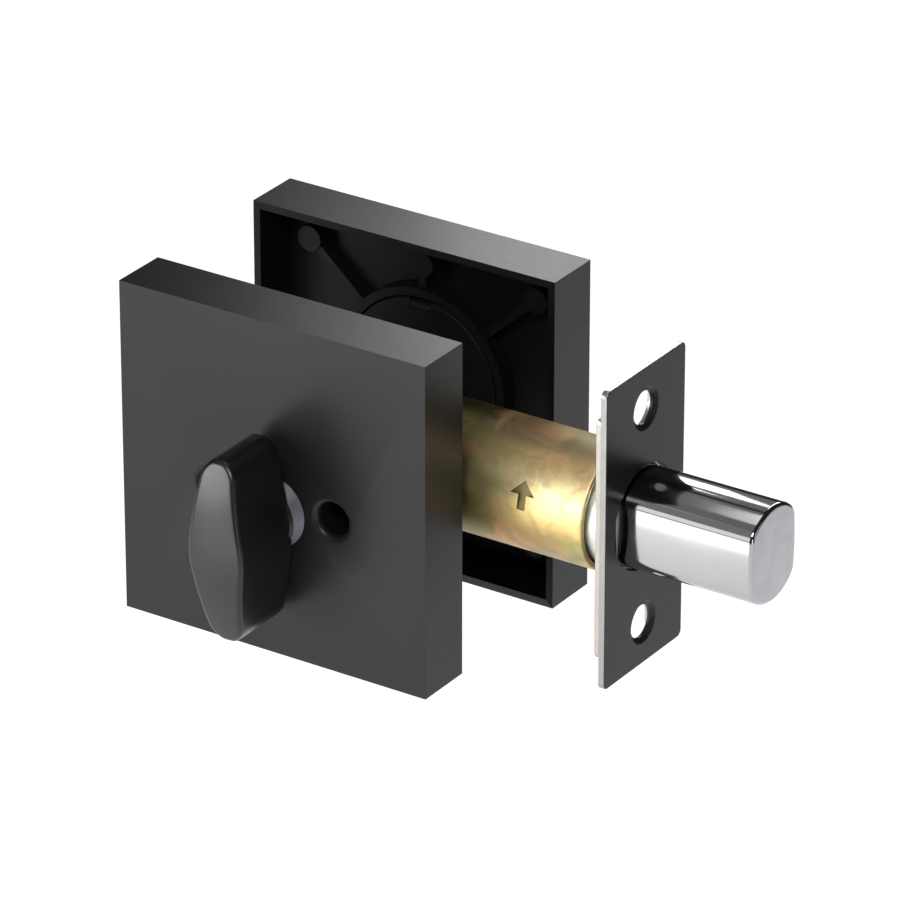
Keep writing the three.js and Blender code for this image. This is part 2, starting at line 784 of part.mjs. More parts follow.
for (let i = 0; i < pinCount; i += 1) {
  const y = pinY(i);
  const driverLow = plugRadius + plugPlay + springPlay;
  const driverHigh = driverLow + driverLength;
  const driver = roundZ(tumblerRadius, [driverLow, driverHigh], 0, y);
  place(spindle, `key_pin_${i + 1}`, keyPin(keyPinLengths[i], y), brass());
  place(spindle, `driver_pin_${i + 1}`, driver, hardSteel());
  place(spindle, `pin_spring_${i + 1}`, pinSpring(driverHigh, chamberTopZ, y), hardSteel());
}

export default root;
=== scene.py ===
import json
import math

import bmesh
import bpy
from mathutils import Matrix, Vector

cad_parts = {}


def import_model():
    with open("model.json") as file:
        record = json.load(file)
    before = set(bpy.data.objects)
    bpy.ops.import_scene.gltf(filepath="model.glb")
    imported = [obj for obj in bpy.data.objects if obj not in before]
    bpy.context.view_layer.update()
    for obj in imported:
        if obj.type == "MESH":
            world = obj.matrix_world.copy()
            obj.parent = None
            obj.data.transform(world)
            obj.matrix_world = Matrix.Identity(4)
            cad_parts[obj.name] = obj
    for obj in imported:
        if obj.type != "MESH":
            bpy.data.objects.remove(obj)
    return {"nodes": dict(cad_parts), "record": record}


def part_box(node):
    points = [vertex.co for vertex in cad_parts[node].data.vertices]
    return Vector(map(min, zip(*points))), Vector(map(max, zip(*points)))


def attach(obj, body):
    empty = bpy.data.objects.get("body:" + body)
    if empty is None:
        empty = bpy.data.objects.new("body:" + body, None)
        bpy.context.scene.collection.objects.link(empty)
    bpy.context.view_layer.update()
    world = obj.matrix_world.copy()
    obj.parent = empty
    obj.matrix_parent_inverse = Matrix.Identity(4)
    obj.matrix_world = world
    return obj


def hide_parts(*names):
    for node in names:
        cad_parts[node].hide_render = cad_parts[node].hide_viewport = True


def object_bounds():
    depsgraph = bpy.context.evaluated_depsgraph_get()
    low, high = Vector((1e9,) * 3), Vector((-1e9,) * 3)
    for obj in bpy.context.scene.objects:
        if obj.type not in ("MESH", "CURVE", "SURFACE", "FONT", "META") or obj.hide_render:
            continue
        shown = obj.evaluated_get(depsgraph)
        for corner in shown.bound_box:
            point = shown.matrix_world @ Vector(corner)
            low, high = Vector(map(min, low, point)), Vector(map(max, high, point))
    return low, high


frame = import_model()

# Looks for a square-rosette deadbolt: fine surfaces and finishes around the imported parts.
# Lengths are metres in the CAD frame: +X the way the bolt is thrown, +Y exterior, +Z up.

CAD_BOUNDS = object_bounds()
MM = 0.001
PAST = 1.0 * MM  # how far a cutter runs past the surface it opens
BITE = 0.5 * MM  # how far a joined solid is sunk into the one it stands on

BODY_OF = {
    node: body
    for body, nodes in frame["record"]["behaviour"]["bodies"].items()
    for node in nodes
}
SLOT_OF = {row["node"]: row["material_slot"] for row in frame["record"]["subparts"]}


# ------------------------------------------------------------------ measures from the frame

def low(node):
    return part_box(node)[0]


def high(node):
    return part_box(node)[1]


def centre(node):
    return (low(node) + high(node)) / 2


SPINDLE = centre("thumbturn_collar")
LATCH = centre("backing_plate")
SCREW_LEFT = centre("mounting_screw_left")
SCREW_RIGHT = centre("mounting_screw_right")
HOUSING = centre("cylinder_guard")


# ------------------------------------------------------------------ mesh helpers

def round_corners(points, radii, steps=5):
    """A closed outline with each corner replaced by an arc of its radius."""
    if not hasattr(radii, "__len__"):
        radii = [radii] * len(points)
    out = []
    count = len(points)
    for i, radius in enumerate(radii):
        corner = Vector(points[i])
        before = Vector(points[i - 1]) - corner
        after = Vector(points[(i + 1) % count]) - corner
        angle = before.angle(after, 0)
        if radius <= 0 or angle < 1e-3 or math.pi - angle < 1e-3:
            out.append(corner)
            continue
        reach = min(radius / math.tan(angle / 2), 0.49 * before.length, 0.49 * after.length)
        radius = reach * math.tan(angle / 2)
        start = corner + before.normalized() * reach
        end = corner + after.normalized() * reach
        middle = corner + (before.normalized() + after.normalized()).normalized() * (
            radius / math.sin(angle / 2))
        a, b = start - middle, end - middle
        turn = a.angle(b)
        for k in range(steps + 1):
            t = k / steps
            mix = (math.sin((1 - t) * turn) * a + math.sin(t * turn) * b) / math.sin(turn)
            out.append(middle + mix)
    return out


def arc(radius, start, end, steps, centre_at=(0, 0)):
    return [
        Vector((centre_at[0] + radius * math.cos(start + (end - start) * i / steps),
                centre_at[1] + radius * math.sin(start + (end - start) * i / steps)))
        for i in range(steps + 1)
    ]


def circle(radius, steps):
    return arc(radius, 0, 2 * math.pi * (1 - 1 / steps), steps - 1)


def rectangle(half_u, half_v, radius):
    corners = [(half_u, half_v), (-half_u, half_v), (-half_u, -half_v), (half_u, -half_v)]
    return round_corners(corners, radius, 6)


def flatted_circle(radius, half_width, crown, corner, steps=40):
    """A circle with two flat sides: soft corners, and a small crown in the flats' middle."""
    corner_steps, flat_steps = 14, 8
    edge = half_width - crown
    rise = math.sqrt((radius - corner) ** 2 - (edge - corner) ** 2)
    cut = math.atan2(rise, edge - corner)
    slope = 2 * crown / rise
    half = arc(corner, slope, cut, corner_steps, (edge - corner, rise))[:-1]
    half += arc(radius, cut, math.pi - cut, steps)
    half += arc(corner, math.pi - cut, math.pi - slope, corner_steps, (corner - edge, rise))[1:]
    for i in range(1, flat_steps):
        height = 1 - 2 * i / flat_steps
        half.append(Vector((-edge - crown * (1 - height ** 2), height * rise)))
    return half + [-p for p in half]


def resampled(points, count):
    """The outline with its points spread evenly along it."""
    lengths = [(points[(i + 1) % len(points)] - p).length for i, p in enumerate(points)]
    step = sum(lengths) / count
    out = []
    travelled, target = 0, 0
    for i, p in enumerate(points):
        after = points[(i + 1) % len(points)]
        while target < travelled + lengths[i] and len(out) < count:
            out.append(p.lerp(after, (target - travelled) / lengths[i]))
            target += step
        travelled += lengths[i]
    return out


def inset(points, distance):
    """The outline moved inwards along its corners' mitres."""
    if distance == 0:
        return [Vector(p) for p in points]
    out = []
    count = len(points)
    for i in range(count):
        before = (points[i] - points[i - 1]).normalized()
        after = (points[(i + 1) % count] - points[i]).normalized()
        normal_a = Vector((-before.y, before.x))
        normal_b = Vector((-after.y, after.x))
        mitre = (normal_a + normal_b).normalized()
        out.append(points[i] + mitre * distance / max(0.3, mitre.dot(normal_a)))
    return out


def to_world(axis, along, u, v):
    """(along, u, v) in the axis's own frame: X takes (y, z), Y takes (x, z), Z takes (x, y)."""
    if axis == "X":
        return Vector((along, u, v))
    if axis == "Y":
        return Vector((u, along, v))
    return Vector((u, v, along))


def object_from(name, bm, materials=()):
    bmesh.ops.recalc_face_normals(bm, faces=bm.faces)
    mesh = bpy.data.meshes.new(name)
    bm.to_mesh(mesh)
    bm.free()
    mesh.shade_smooth()
    piece = bpy.data.objects.new(name, mesh)
    bpy.context.scene.collection.objects.link(piece)
    for material in materials:
        mesh.materials.append(material)
    return piece


def rings_object(name, rings):
    """Skin a list of rings with equal point counts, and cap both ends."""
    bm = bmesh.new()
    loops = [[bm.verts.new(p) for p in ring] for ring in rings]
    for first, second in zip(loops, loops[1:]):
        count = len(first)
        for i in range(count):
            j = (i + 1) % count
            bm.faces.new((first[i], first[j], second[j], second[i]))
    bm.faces.new(loops[0])
    bm.faces.new(loops[-1])
    return object_from(name, bm)


def fillet_station(end, inwards, radius, share):
    """Where a rounded rim is along the axis and how far it has shrunk, share 1 being the end face."""
    angle = math.pi / 2 * share
    return end + inwards * radius * (1 - math.sin(angle)), radius * (1 - math.cos(angle))


def prism(name, outline, axis, span, at, end_edge=0):
    """An outline carried along an axis, the rim at its far end rounded by end_edge."""
    steps = 8
    start, end = span
    last = [(end, 0)]
    if end_edge:
        last = [fillet_station(end, -1, end_edge, k / steps) for k in range(steps + 1)]
    rings = []
    for along, shrink in [(start, 0)] + last:
        ring = inset(outline, shrink)
        rings.append([to_world(axis, along, at[0] + p.x, at[1] + p.y) for p in ring])
    return rings_object(name, rings)


def lathe(name, profile, axis, at, segments=128):
    """A closed profile of (along, radius) points turned round an axis through at."""
    bm = bmesh.new()
    loops = []
    for along, radius in profile:
        ring = []
        for i in range(segments):
            angle = 2 * math.pi * i / segments
            u = at[0] + radius * math.cos(angle)
            v = at[1] + radius * math.sin(angle)
            ring.append(bm.verts.new(to_world(axis, along, u, v)))
        loops.append(ring)
    for k, first in enumerate(loops):
        second = loops[(k + 1) % len(loops)]
        for i in range(segments):
            j = (i + 1) % segments
            bm.faces.new((first[i], first[j], second[j], second[i]))
    return object_from(name, bm)


def bar(name, radius, axis, span, at, segments=64):
    """A plain round cutter or core."""
    return stepped_bar(name, [(span[0], radius), (span[1], radius)], axis, at, segments)


def stepped_bar(name, stations, axis, at, segments):
    """A round solid through (along, radius) stations."""
    rings = []
    for along, radius in stations:
        ring = circle(radius, segments)
        rings.append([to_world(axis, along, at[0] + p.x, at[1] + p.y) for p in ring])
    return rings_object(name, rings)


def filleted(outline, span, start_edge, end_edge, inwards=1):
    """Rings of an outline from one end of a span to the other, its two rims rounded.

    inwards is 1 for the outside of a plate and -1 for a hole, whose rims open outwards.
    """
    steps = 3
    stations = [fillet_station(span[0], 1, start_edge, 1 - k / steps) for k in range(steps + 1)]
    stations += [fillet_station(span[1], -1, end_edge, k / steps) for k in range(steps + 1)]
    return [(along, inset(outline, inwards * shrink)) for along, shrink in stations]


def coned(stations):
    """Rings of a round hole through (along, radius) stations."""
    return [(along, circle(radius, 96)) for along, radius in stations]


def plate(name, axis, loops):
    """A flat piece with holes: each loop is (middle, rings), the outside first."""
    bm = bmesh.new()
    ends = ([], [])
    for middle, rings in loops:
        made = []
        for along, ring in rings:
            spots = [to_world(axis, along, middle[0] + p.x, middle[1] + p.y) for p in ring]
            made.append([bm.verts.new(spot) for spot in spots])
        count = len(made[0])
        for first, second in zip(made, made[1:]):
            for i in range(count):
                j = (i + 1) % count
                bm.faces.new((first[i], first[j], second[j], second[i]))
        for ring, edges in ((made[0], ends[0]), (made[-1], ends[1])):
            edges += [bm.edges.get((ring[i], ring[(i + 1) % count])) for i in range(count)]
    for edges in ends:
        bmesh.ops.triangle_fill(bm, use_beauty=True, edges=edges)
    piece = object_from(name, bm)
    flat_normals(piece)
    return piece


def box(name, xs, ys, zs):
    bm = bmesh.new()
    bmesh.ops.create_cube(bm, size=1)
    for v in bm.verts:
        v.co = Vector((
            xs[0] if v.co.x < 0 else xs[1],
            ys[0] if v.co.y < 0 else ys[1],
            zs[0] if v.co.z < 0 else zs[1],
        ))
    return object_from(name, bm)


SHARP_ANGLE = 40
FLAT_WEIGHT = 80


def apply_modifiers(piece):
    graph = bpy.context.evaluated_depsgraph_get()
    mesh = bpy.data.meshes.new_from_object(piece.evaluated_get(graph))
    old = piece.data
    piece.modifiers.clear()
    piece.data = mesh
    bpy.data.meshes.remove(old)


def combine(piece, other, operation):
    """Join another solid to a piece, or cut it away, and drop the other."""
    modifier = piece.modifiers.new("combine", "BOOLEAN")
    modifier.operation = operation
    modifier.solver = "EXACT"
    modifier.object = other
    apply_modifiers(piece)
    bpy.data.objects.remove(other)


def cut(piece, *others):
    for other in others:
        combine(piece, other, "DIFFERENCE")


def join(piece, other):
    combine(piece, other, "UNION")


def soften(piece, width, steps=3, angle=35):
    """Round every sharp edge and keep the flats flat."""
    bevel = piece.modifiers.new("edges", "BEVEL")
    bevel.width = width
    bevel.segments = steps
    bevel.limit_method = "ANGLE"
    bevel.angle_limit = math.radians(angle)
    bevel.miter_outer = "MITER_ARC"
    bevel.use_clamp_overlap = True
    bevel.harden_normals = True
    piece.data.shade_smooth()


def flat_normals(piece):
    """Smooth shading that keeps flats flat and stops at sharp corners."""
    piece.data.shade_smooth()
    piece.data.set_sharp_from_angle(angle=math.radians(SHARP_ANGLE))
    normals = piece.modifiers.new("normals", "WEIGHTED_NORMAL")
    normals.keep_sharp = True
    normals.weight = FLAT_WEIGHT


def finish_piece(piece, node, materials, choose=None):
    """Give a piece its finishes and put it in the place of its CAD node.

    choose gives a face the place of its finish in the list; without it all faces take the first.
    """
    piece.data.materials.clear()
    for material in materials:
        piece.data.materials.append(material)
    for face in piece.data.polygons:
        face.material_index = choose(face) if choose else 0
    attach(piece, BODY_OF[node])
    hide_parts(node)


# ------------------------------------------------------------------ finishes

def colour(*values):
    return (values[0], values[1], values[2], 1)


def linear(red, green, blue):
    """A colour named in ordinary 0-255 values."""
    def channel(value):
        value /= 255
        return value / 12.92 if value <= 0.04045 else ((value + 0.055) / 1.055) ** 2.4
    return colour(channel(red), channel(green), channel(blue))


class Finish:
    """A material with one Principled shader and short calls for its nodes."""

    def __init__(self, name, base, metallic, roughness, **sockets):
        self.material = bpy.data.materials.new(name)
        self.material.use_nodes = True
        self.nodes = self.material.node_tree.nodes
        self.links = self.material.node_tree.links
        self.shader = self.nodes["Principled BSDF"]
        self.shader.inputs["Base Color"].default_value = base
        self.shader.inputs["Metallic"].default_value = metallic
        self.shader.inputs["Roughness"].default_value = roughness
        for socket, value in sockets.items():
            self.shader.inputs[socket.replace("_", " ")].default_value = value
        self.place = self.nodes.new("ShaderNodeTexCoord").outputs["Object"]

    def link(self, output, socket):
        self.links.new(output, socket)

    def stretched(self, scale):
        mapping = self.nodes.new("ShaderNodeMapping")
        mapping.inputs["Scale"].default_value = scale
        self.link(self.place, mapping.inputs["Vector"])
        return mapping.outputs["Vector"]

    def noise(self, scale, detail, stretch=None, distortion=0):
        node = self.nodes.new("ShaderNodeTexNoise")
        node.inputs["Scale"].default_value = scale
        node.inputs["Detail"].default_value = detail
        node.inputs["Distortion"].default_value = distortion
        self.link(self.stretched(stretch) if stretch else self.place, node.inputs["Vector"])
        return node.outputs["Fac"]

    def ramp(self, factor, stops):
        node = self.nodes.new("ShaderNodeValToRGB")
        while len(node.color_ramp.elements) < len(stops):
            node.color_ramp.elements.new(1)
        for element, (position, value) in zip(node.color_ramp.elements, stops):
            element.position = position
            element.color = value
        self.link(factor, node.inputs["Fac"])
        return node.outputs["Color"]

    def span(self, factor, from_low, from_high, to_low, to_high):
        node = self.nodes.new("ShaderNodeMapRange")
        node.inputs["From Min"].default_value = from_low
        node.inputs["From Max"].default_value = from_high
        node.inputs["To Min"].default_value = to_low
        node.inputs["To Max"].default_value = to_high
        self.link(factor, node.inputs["Value"])
        return node.outputs["Result"]

    def maths(self, operation, first, second):
        node = self.nodes.new("ShaderNodeMath")
        node.operation = operation
        for socket, value in zip(node.inputs, (first, second)):
            if isinstance(value, (int, float)):
                socket.default_value = value
            else:
                self.link(value, socket)
        return node.outputs["Value"]

    def mix(self, factor, first, second, blend="MIX"):
        node = self.nodes.new("ShaderNodeMix")
        node.data_type = "RGBA"
        node.blend_type = blend
        sockets = (node.inputs[0], node.inputs[6], node.inputs[7])
        for socket, value in zip(sockets, (factor, first, second)):
            if hasattr(value, "is_linked"):
                self.link(value, socket)
            else:
                socket.default_value = value
        return node.outputs[2]

    def bump(self, height, strength, distance):
        node = self.nodes.new("ShaderNodeBump")
        node.inputs["Strength"].default_value = strength
        node.inputs["Distance"].default_value = distance
        self.link(height, node.inputs["Height"])
        return node.outputs["Normal"]

    def normal(self, output):
        self.link(output, self.shader.inputs["Normal"])

    def base(self, output):
        self.link(output, self.shader.inputs["Base Color"])

    def roughness(self, output):
        self.link(output, self.shader.inputs["Roughness"])


def satin_black(name="satin_black", shade=0.010, rough=0.36, gloss=0.23):
    """Fine-grained black coating: slight mottling, tiny grain and a soft gloss."""
    f = Finish(name, colour(shade, shade, shade), 0, rough, Specular_IOR_Level=gloss)
    cloud = f.noise(60, 4)
    dark = colour(shade * 0.9, shade * 0.9, shade * 0.92)
    light = colour(shade * 1.12, shade * 1.12, shade * 1.13)
    f.base(f.mix(cloud, dark, light))
    f.roughness(f.span(f.noise(900, 3), 0.3, 0.7, rough - 0.02, rough + 0.02))
    f.normal(f.bump(f.noise(3800, 2), 0.10, 0.00002))
    return f.material


def polished_chrome():
    """The bolt's bright plating, with a faint grain along the throw."""
    f = Finish("polished_chrome", colour(0.37, 0.37, 0.38), 1, 0.07)
    streak = f.noise(500, 3, stretch=(0.12, 1, 1))
    f.roughness(f.span(streak, 0.35, 0.75, 0.08, 0.15))
    f.base(f.mix(f.noise(90, 3), colour(0.34, 0.34, 0.35), colour(0.40, 0.40, 0.41)))
    f.normal(f.bump(f.noise(900, 2, stretch=(0.2, 1, 1)), 0.05, 0.00001))
    return f.material


def satin_nose():
    """The bolt's end face: ground flat, with a very fine grain."""
    f = Finish("satin_nose", colour(0.44, 0.43, 0.46), 1, 0.34)
    f.base(f.mix(f.noise(140, 4), colour(0.42, 0.41, 0.44), colour(0.47, 0.46, 0.48)))
    f.roughness(f.span(f.noise(400, 3), 0.3, 0.7, 0.30, 0.42))
    f.normal(f.bump(f.noise(2600, 2), 0.12, 0.00001))
    return f.material


def satin_nickel():
    """The collar's dull plating."""
    f = Finish("satin_nickel", colour(0.19, 0.185, 0.22), 1, 0.5)
    f.base(f.mix(f.noise(300, 3), colour(0.17, 0.165, 0.20), colour(0.21, 0.205, 0.24)))
    f.roughness(f.span(f.noise(700, 3), 0.3, 0.7, 0.46, 0.56))
    f.normal(f.bump(f.noise(2500, 2), 0.03, 0.00001))
    return f.material


def bare_steel(name, shade, rough):
    """Plain metal of a given shade, with a fine grain."""
    f = Finish(name, colour(*shade), 1, rough)
    dark = colour(*(0.88 * c for c in shade))
    light = colour(*(1.08 * c for c in shade))
    f.base(f.mix(f.noise(350, 4), dark, light))
    f.roughness(f.span(f.noise(900, 3), 0.3, 0.7, rough - 0.06, rough + 0.08))
    f.normal(f.bump(f.noise(3000, 2), 0.10, 0.00001))
    return f.material


def turned_brass():
    """Machined brass, streaked across the cylinder's length."""
    f = Finish("turned_brass", colour(0.70, 0.50, 0.22), 1, 0.28)
    f.base(f.mix(f.noise(260, 4), colour(0.60, 0.42, 0.18), colour(0.78, 0.58, 0.28)))
    f.roughness(f.span(f.noise(600, 3), 0.3, 0.7, 0.22, 0.36))
    f.normal(f.bump(f.noise(1800, 2, stretch=(0.3, 3, 0.3)), 0.10, 0.00001))
    return f.material


# Where the painted shade of the black rosette on the tube is full, and where it has faded out.
ROSETTE_SHADE_FULL_X = 0.026
ROSETTE_SHADE_NONE_X = 0.044


def yellow_zinc(name="yellow_zinc", dim=1.0):
    """Yellow chromate over zinc: pale gold, with wandering stains and peach and pale green tints. Painted
    light up its height gives a bright highlight band and darker top and bottom, a painted shade of the black
    rosette darkens the end nearest it, and dim darkens it all for painted shade in a recess.
    """
    f = Finish(name, colour(0.62, 0.50, 0.26), 1, 0.3)
    split = f.nodes.new("ShaderNodeSeparateXYZ")
    f.link(f.place, split.inputs[0])
    height = f.span(split.outputs["Z"], low("latch_tube").z, high("latch_tube").z, 0, 1)
    drift = f.noise(45, 3, stretch=(0.9, 1, 1), distortion=0.4)
    # Painted light up the tube's height: a bright painted highlight band above the middle, with painted
    # shade darkening the bottom and the top.
    tint_and_painted_light = f.ramp(height, [
        (0.00, linear(132, 118, 92)),
        (0.20, linear(150, 134, 104)),
        (0.36, linear(196, 174, 118)),
        (0.48, linear(228, 202, 136)),
        (0.62, linear(246, 226, 162)),
        (0.77, linear(250, 234, 182)),
        (0.85, linear(244, 220, 164)),
        (0.92, linear(226, 196, 142)),
        (0.97, linear(160, 144, 110)),
        (1.00, linear(132, 122, 104)),
    ])
    # Painted shade: the tube darkens to a dull greenish brown towards the black rosette, for the rosette's
    # shadow and dark reflection on it, its strength made uneven by noise.
    rosette_shade = f.span(split.outputs["X"], ROSETTE_SHADE_NONE_X, ROSETTE_SHADE_FULL_X, 0, 0.9)
    uneven_rosette_shade = f.maths("MULTIPLY", rosette_shade, f.span(drift, 0.3, 0.7, 0.7, 1.2))
    tint_and_painted_light = f.mix(uneven_rosette_shade, tint_and_painted_light, linear(98, 94, 58))
    stain = f.span(f.noise(260, 5, distortion=1.2), 0.42, 0.70, 0, 0.42)
    tint_and_painted_light = f.mix(stain, tint_and_painted_light, linear(150, 128, 86))
    peach = f.span(f.noise(110, 3, distortion=0.8), 0.50, 0.70, 0, 0.65)
    tint_and_painted_light = f.mix(peach, tint_and_painted_light, linear(222, 174, 128))
    green = f.span(f.noise(80, 3, stretch=(1, 1.4, 1.4), distortion=0.8), 0.55, 0.72, 0, 0.45)
    tint_and_painted_light = f.mix(green, tint_and_painted_light, linear(150, 170, 112))
    # dim darkens the whole finish, for painted shade.
    if dim < 1:
        tint_and_painted_light = f.mix(1.0, tint_and_painted_light, colour(dim, dim, dim), "MULTIPLY")
    f.base(tint_and_painted_light)
    f.roughness(f.span(f.noise(300, 4, stretch=(0.3, 1, 1)), 0.3, 0.7, 0.46, 0.58))
    f.normal(f.bump(f.noise(700, 3, stretch=(0.15, 1, 1)), 0.04, 0.00001))
    return f.material


BLACK = satin_black()
# A duller, darker copy of the black for the rosettes' hollows and the cylinder body in them: its darker
# colour is painted shade.
HOLLOW_SHADE_BLACK = satin_black("hollow_shade_black", 0.004, 0.6, 0.12)
GRIP_BLACK = satin_black("grip_black", 0.006, 0.31, 0.42)
CHROME = polished_chrome()
NOSE = satin_nose()
NICKEL = satin_nickel()
CLEAR_ZINC = bare_steel("clear_zinc", (0.66, 0.72, 0.67), 0.42)
CUT_STEEL = bare_steel("cut_steel", (0.28, 0.28, 0.265), 0.34)
PLATE_ZINC = bare_steel("plate_zinc", (0.40, 0.36, 0.325), 0.36)
HARD_STEEL = bare_steel("hard_steel", (0.42, 0.42, 0.43), 0.32)
BRASS = turned_brass()
YELLOW_ZINC = yellow_zinc()
# A dimmed copy of the yellow zinc: painted shade down in the stamped arrow.
STAMP_SHADE_ZINC = yellow_zinc("stamp_shade_zinc", 0.36)

SLOT_FINISH = {
    "satin_black": BLACK,
    "bolt_chrome": CHROME,
    "collar_nickel": NICKEL,
    "yellow_zinc": YELLOW_ZINC,
    "clear_zinc": CLEAR_ZINC,
    "hard_steel": HARD_STEEL,
    "brass": BRASS,
}

for node, cad in frame["nodes"].items():
    cad.data.materials.clear()
    cad.data.materials.append(SLOT_FINISH[SLOT_OF[node]])


# ------------------------------------------------------------------ rosettes

ROSETTE_WALL = 1.4 * MM
ROSETTE_FACE = 2.0 * MM
RIB_WIDTH = 1.5 * MM
RIB_HEIGHT = 3.2 * MM
POST_RADIUS = 2.45 * MM
POST_HEIGHT = 3.6 * MM
POST_INSET = 7.9 * MM
POST_SHIFT = 1.0 * MM  # the posts above and below stand this much further out
WELL_RADIUS = 3.15 * MM
WELL_LIP = 1.2 * MM
WELL_WALL = 1.95 * MM
WELL_DEPTH = 8.25 * MM
WELL_FLOOR = 2.0 * MM
SCREW_HOLE = 2.4 * MM
WELL_LIP_STEPS = 6
ROSETTE_EDGE = 0.32 * MM
STEM_BOSS = 8.9 * MM
STEM_BOSS_HEIGHT = 1.0 * MM
STEM_BOSS_RIB_START = 8.4 * MM
STEM_HOLE = 4.8 * MM
STEM_HOLE_REACH = 3 * MM
CYLINDER_BOSS = 17.7 * MM
CYLINDER_HOLE = 16.1 * MM
CYLINDER_BOSS_GAP = 0.2 * MM


def rosette_shell(name, node):
    """The square shell: walls and face, open towards the door."""
    a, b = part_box(node)
    side = 1 if a.y > 0 else -1
    rim, face = (a.y, b.y) if side > 0 else (b.y, a.y)
    floor = face - side * ROSETTE_FACE
    shell = box(name, (a.x, b.x), (a.y, b.y), (a.z, b.z))
    beyond = sorted((rim - side * PAST, floor))
    cut(shell, box("hollow", (a.x + ROSETTE_WALL, b.x - ROSETTE_WALL), beyond,
                   (a.z + ROSETTE_WALL, b.z - ROSETTE_WALL)))
    return shell, side, face, floor


def inside_of(shell_box, side):
    """Picks the faces of a shell's hollow, which take a duller, darker black than its outside: the darker
    colour is painted shade.
    """
    a, b = shell_box
    wall_slack, face_slack = 0.05 * MM, 0.3 * MM
    half = (b.x - a.x) / 2 - ROSETTE_WALL + wall_slack
    depth = (b.y if side > 0 else a.y) - side * (ROSETTE_FACE - face_slack)

    def is_in_hollow_shade(face):
        between_walls = max(abs(face.center.x), abs(face.center.z)) < half
        return 1 if between_walls and side * (depth - face.center.y) > 0 else 0

    return is_in_hollow_shade


def add_ribs(shell, side, floor, middle_z, rib_start, half):
    """Posts in the corners, above and below, each tied to the middle by a rib."""
    post = half - POST_INSET
    far_post = post + POST_SHIFT
    spots = [(post, post), (-post, post), (-post, -post), (post, -post), (0, far_post), (0, -far_post)]
    overlap = side * BITE
    for x, z in spots:
        rib_span = sorted((floor - side * RIB_HEIGHT, floor + overlap))
        length = math.hypot(x, z - middle_z)
        rib = box("rib", (rib_start, length), rib_span, (-RIB_WIDTH / 2, RIB_WIDTH / 2))
        turn = Matrix.Rotation(-math.atan2(z - middle_z, x), 4, "Y")
        rib.data.transform(Matrix.Translation((0, 0, middle_z)) @ turn)
        join(shell, rib)
        post_span = sorted((floor - side * POST_HEIGHT, floor + overlap))
        join(shell, bar("post", POST_RADIUS, "Y", post_span, (x, z), 48))


def interior_rosette():
    shell, side, face, floor = rosette_shell("interior_rosette_shell", "interior_rosette")
    is_in_hollow_shade = inside_of(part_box("interior_rosette"), side)
    add_ribs(shell, side, floor, SPINDLE.z, STEM_BOSS_RIB_START, high("interior_rosette").z)
    well_end = face + WELL_DEPTH
    stem = (0, SPINDLE.z)
    join(shell, bar("stem_boss", STEM_BOSS, "Y", (floor - BITE, floor + STEM_BOSS_HEIGHT), stem))
    for screw in (SCREW_LEFT, SCREW_RIGHT):
        join(shell, bar("well", WELL_RADIUS + WELL_WALL, "Y",
                        (floor - BITE, well_end + WELL_FLOOR), (screw.x, screw.z)))
    mouth = [fillet_station(face, 1, WELL_LIP, 1 - k / WELL_LIP_STEPS) for k in range(WELL_LIP_STEPS + 1)]
    for screw in (SCREW_LEFT, SCREW_RIGHT):
        pit = [(face - PAST, WELL_RADIUS + WELL_LIP)] + [(y, WELL_RADIUS + grow) for y, grow in mouth]
        pit += [(well_end, WELL_RADIUS), (well_end, SCREW_HOLE)]
        pit += [(well_end + WELL_FLOOR + PAST, SCREW_HOLE)]
        cut(shell, stepped_bar("pit", pit, "Y", (screw.x, screw.z), 96))
    cut(shell, bar("stem_hole", STEM_HOLE, "Y", (face - PAST, floor + STEM_HOLE_REACH), stem))
    soften(shell, ROSETTE_EDGE)
    # Faces in the hollow take the darker black: painted shade.
    finish_piece(shell, "interior_rosette", [BLACK, HOLLOW_SHADE_BLACK], is_in_hollow_shade)


def exterior_rosette():
    shell, side, face, floor = rosette_shell("exterior_rosette_shell", "exterior_rosette")
    is_in_hollow_shade = inside_of(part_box("exterior_rosette"), side)
    add_ribs(shell, side, floor, HOUSING.z, CYLINDER_BOSS - BITE, high("exterior_rosette").z)
    middle = (0, HOUSING.z)
    boss_start = low("cylinder_housing").y + CYLINDER_BOSS_GAP
    join(shell, bar("boss", CYLINDER_BOSS, "Y", (boss_start, floor + BITE), middle, 128))
    cut(shell, bar("hole", CYLINDER_HOLE, "Y", (0, face + PAST), middle, 128))
    soften(shell, ROSETTE_EDGE)
    # Faces in the hollow take the darker black: painted shade.
    finish_piece(shell, "exterior_rosette", [BLACK, HOLLOW_SHADE_BLACK], is_in_hollow_shade)


# ------------------------------------------------------------------ thumbturn

BLADE_DEPTH = 16.2 * MM
BLADE_BOW = 3.0 * MM
BLADE_CROWN = 0.35 * MM
BLADE_DROP = 1.5 * MM
BLADE_LEAN = math.radians(2.4)
BLADE_SHIFT = 0.3 * MM
BLADE_END = 3.4 * MM
BLADE_EDGE = 0.8 * MM
BLADE_EDGE_STEPS = 9
BLADE_REAR_EDGE = 0.9 * MM
BLADE_REAR_STEPS = 5
BLADE_POINTS = 220
FACE_SCALES = (0.04, 0.12, 0.2, 0.3, 0.4, 0.5, 0.6, 0.7, 0.8, 0.88, 0.95)
FLANK_SHARES = (0.3, 0.5, 0.7)
BOW_FADES_AT = 0.85
NECK_RADIUS = 6.6 * MM
NECK_GAP = 0.3 * MM
NECK_SUNK = 1.5 * MM
STEM_RADIUS = 4.6 * MM
STEM_EDGE = 0.4 * MM
CORE_RADIUS = 0.2 * MM  # the stem and the plug stay open this much round their axis
STEM_SLOT_HALF_X = 1.2 * MM
STEM_SLOT_HALF_Z = 2.8 * MM
STEM_SLOT_DEPTH = 8 * MM


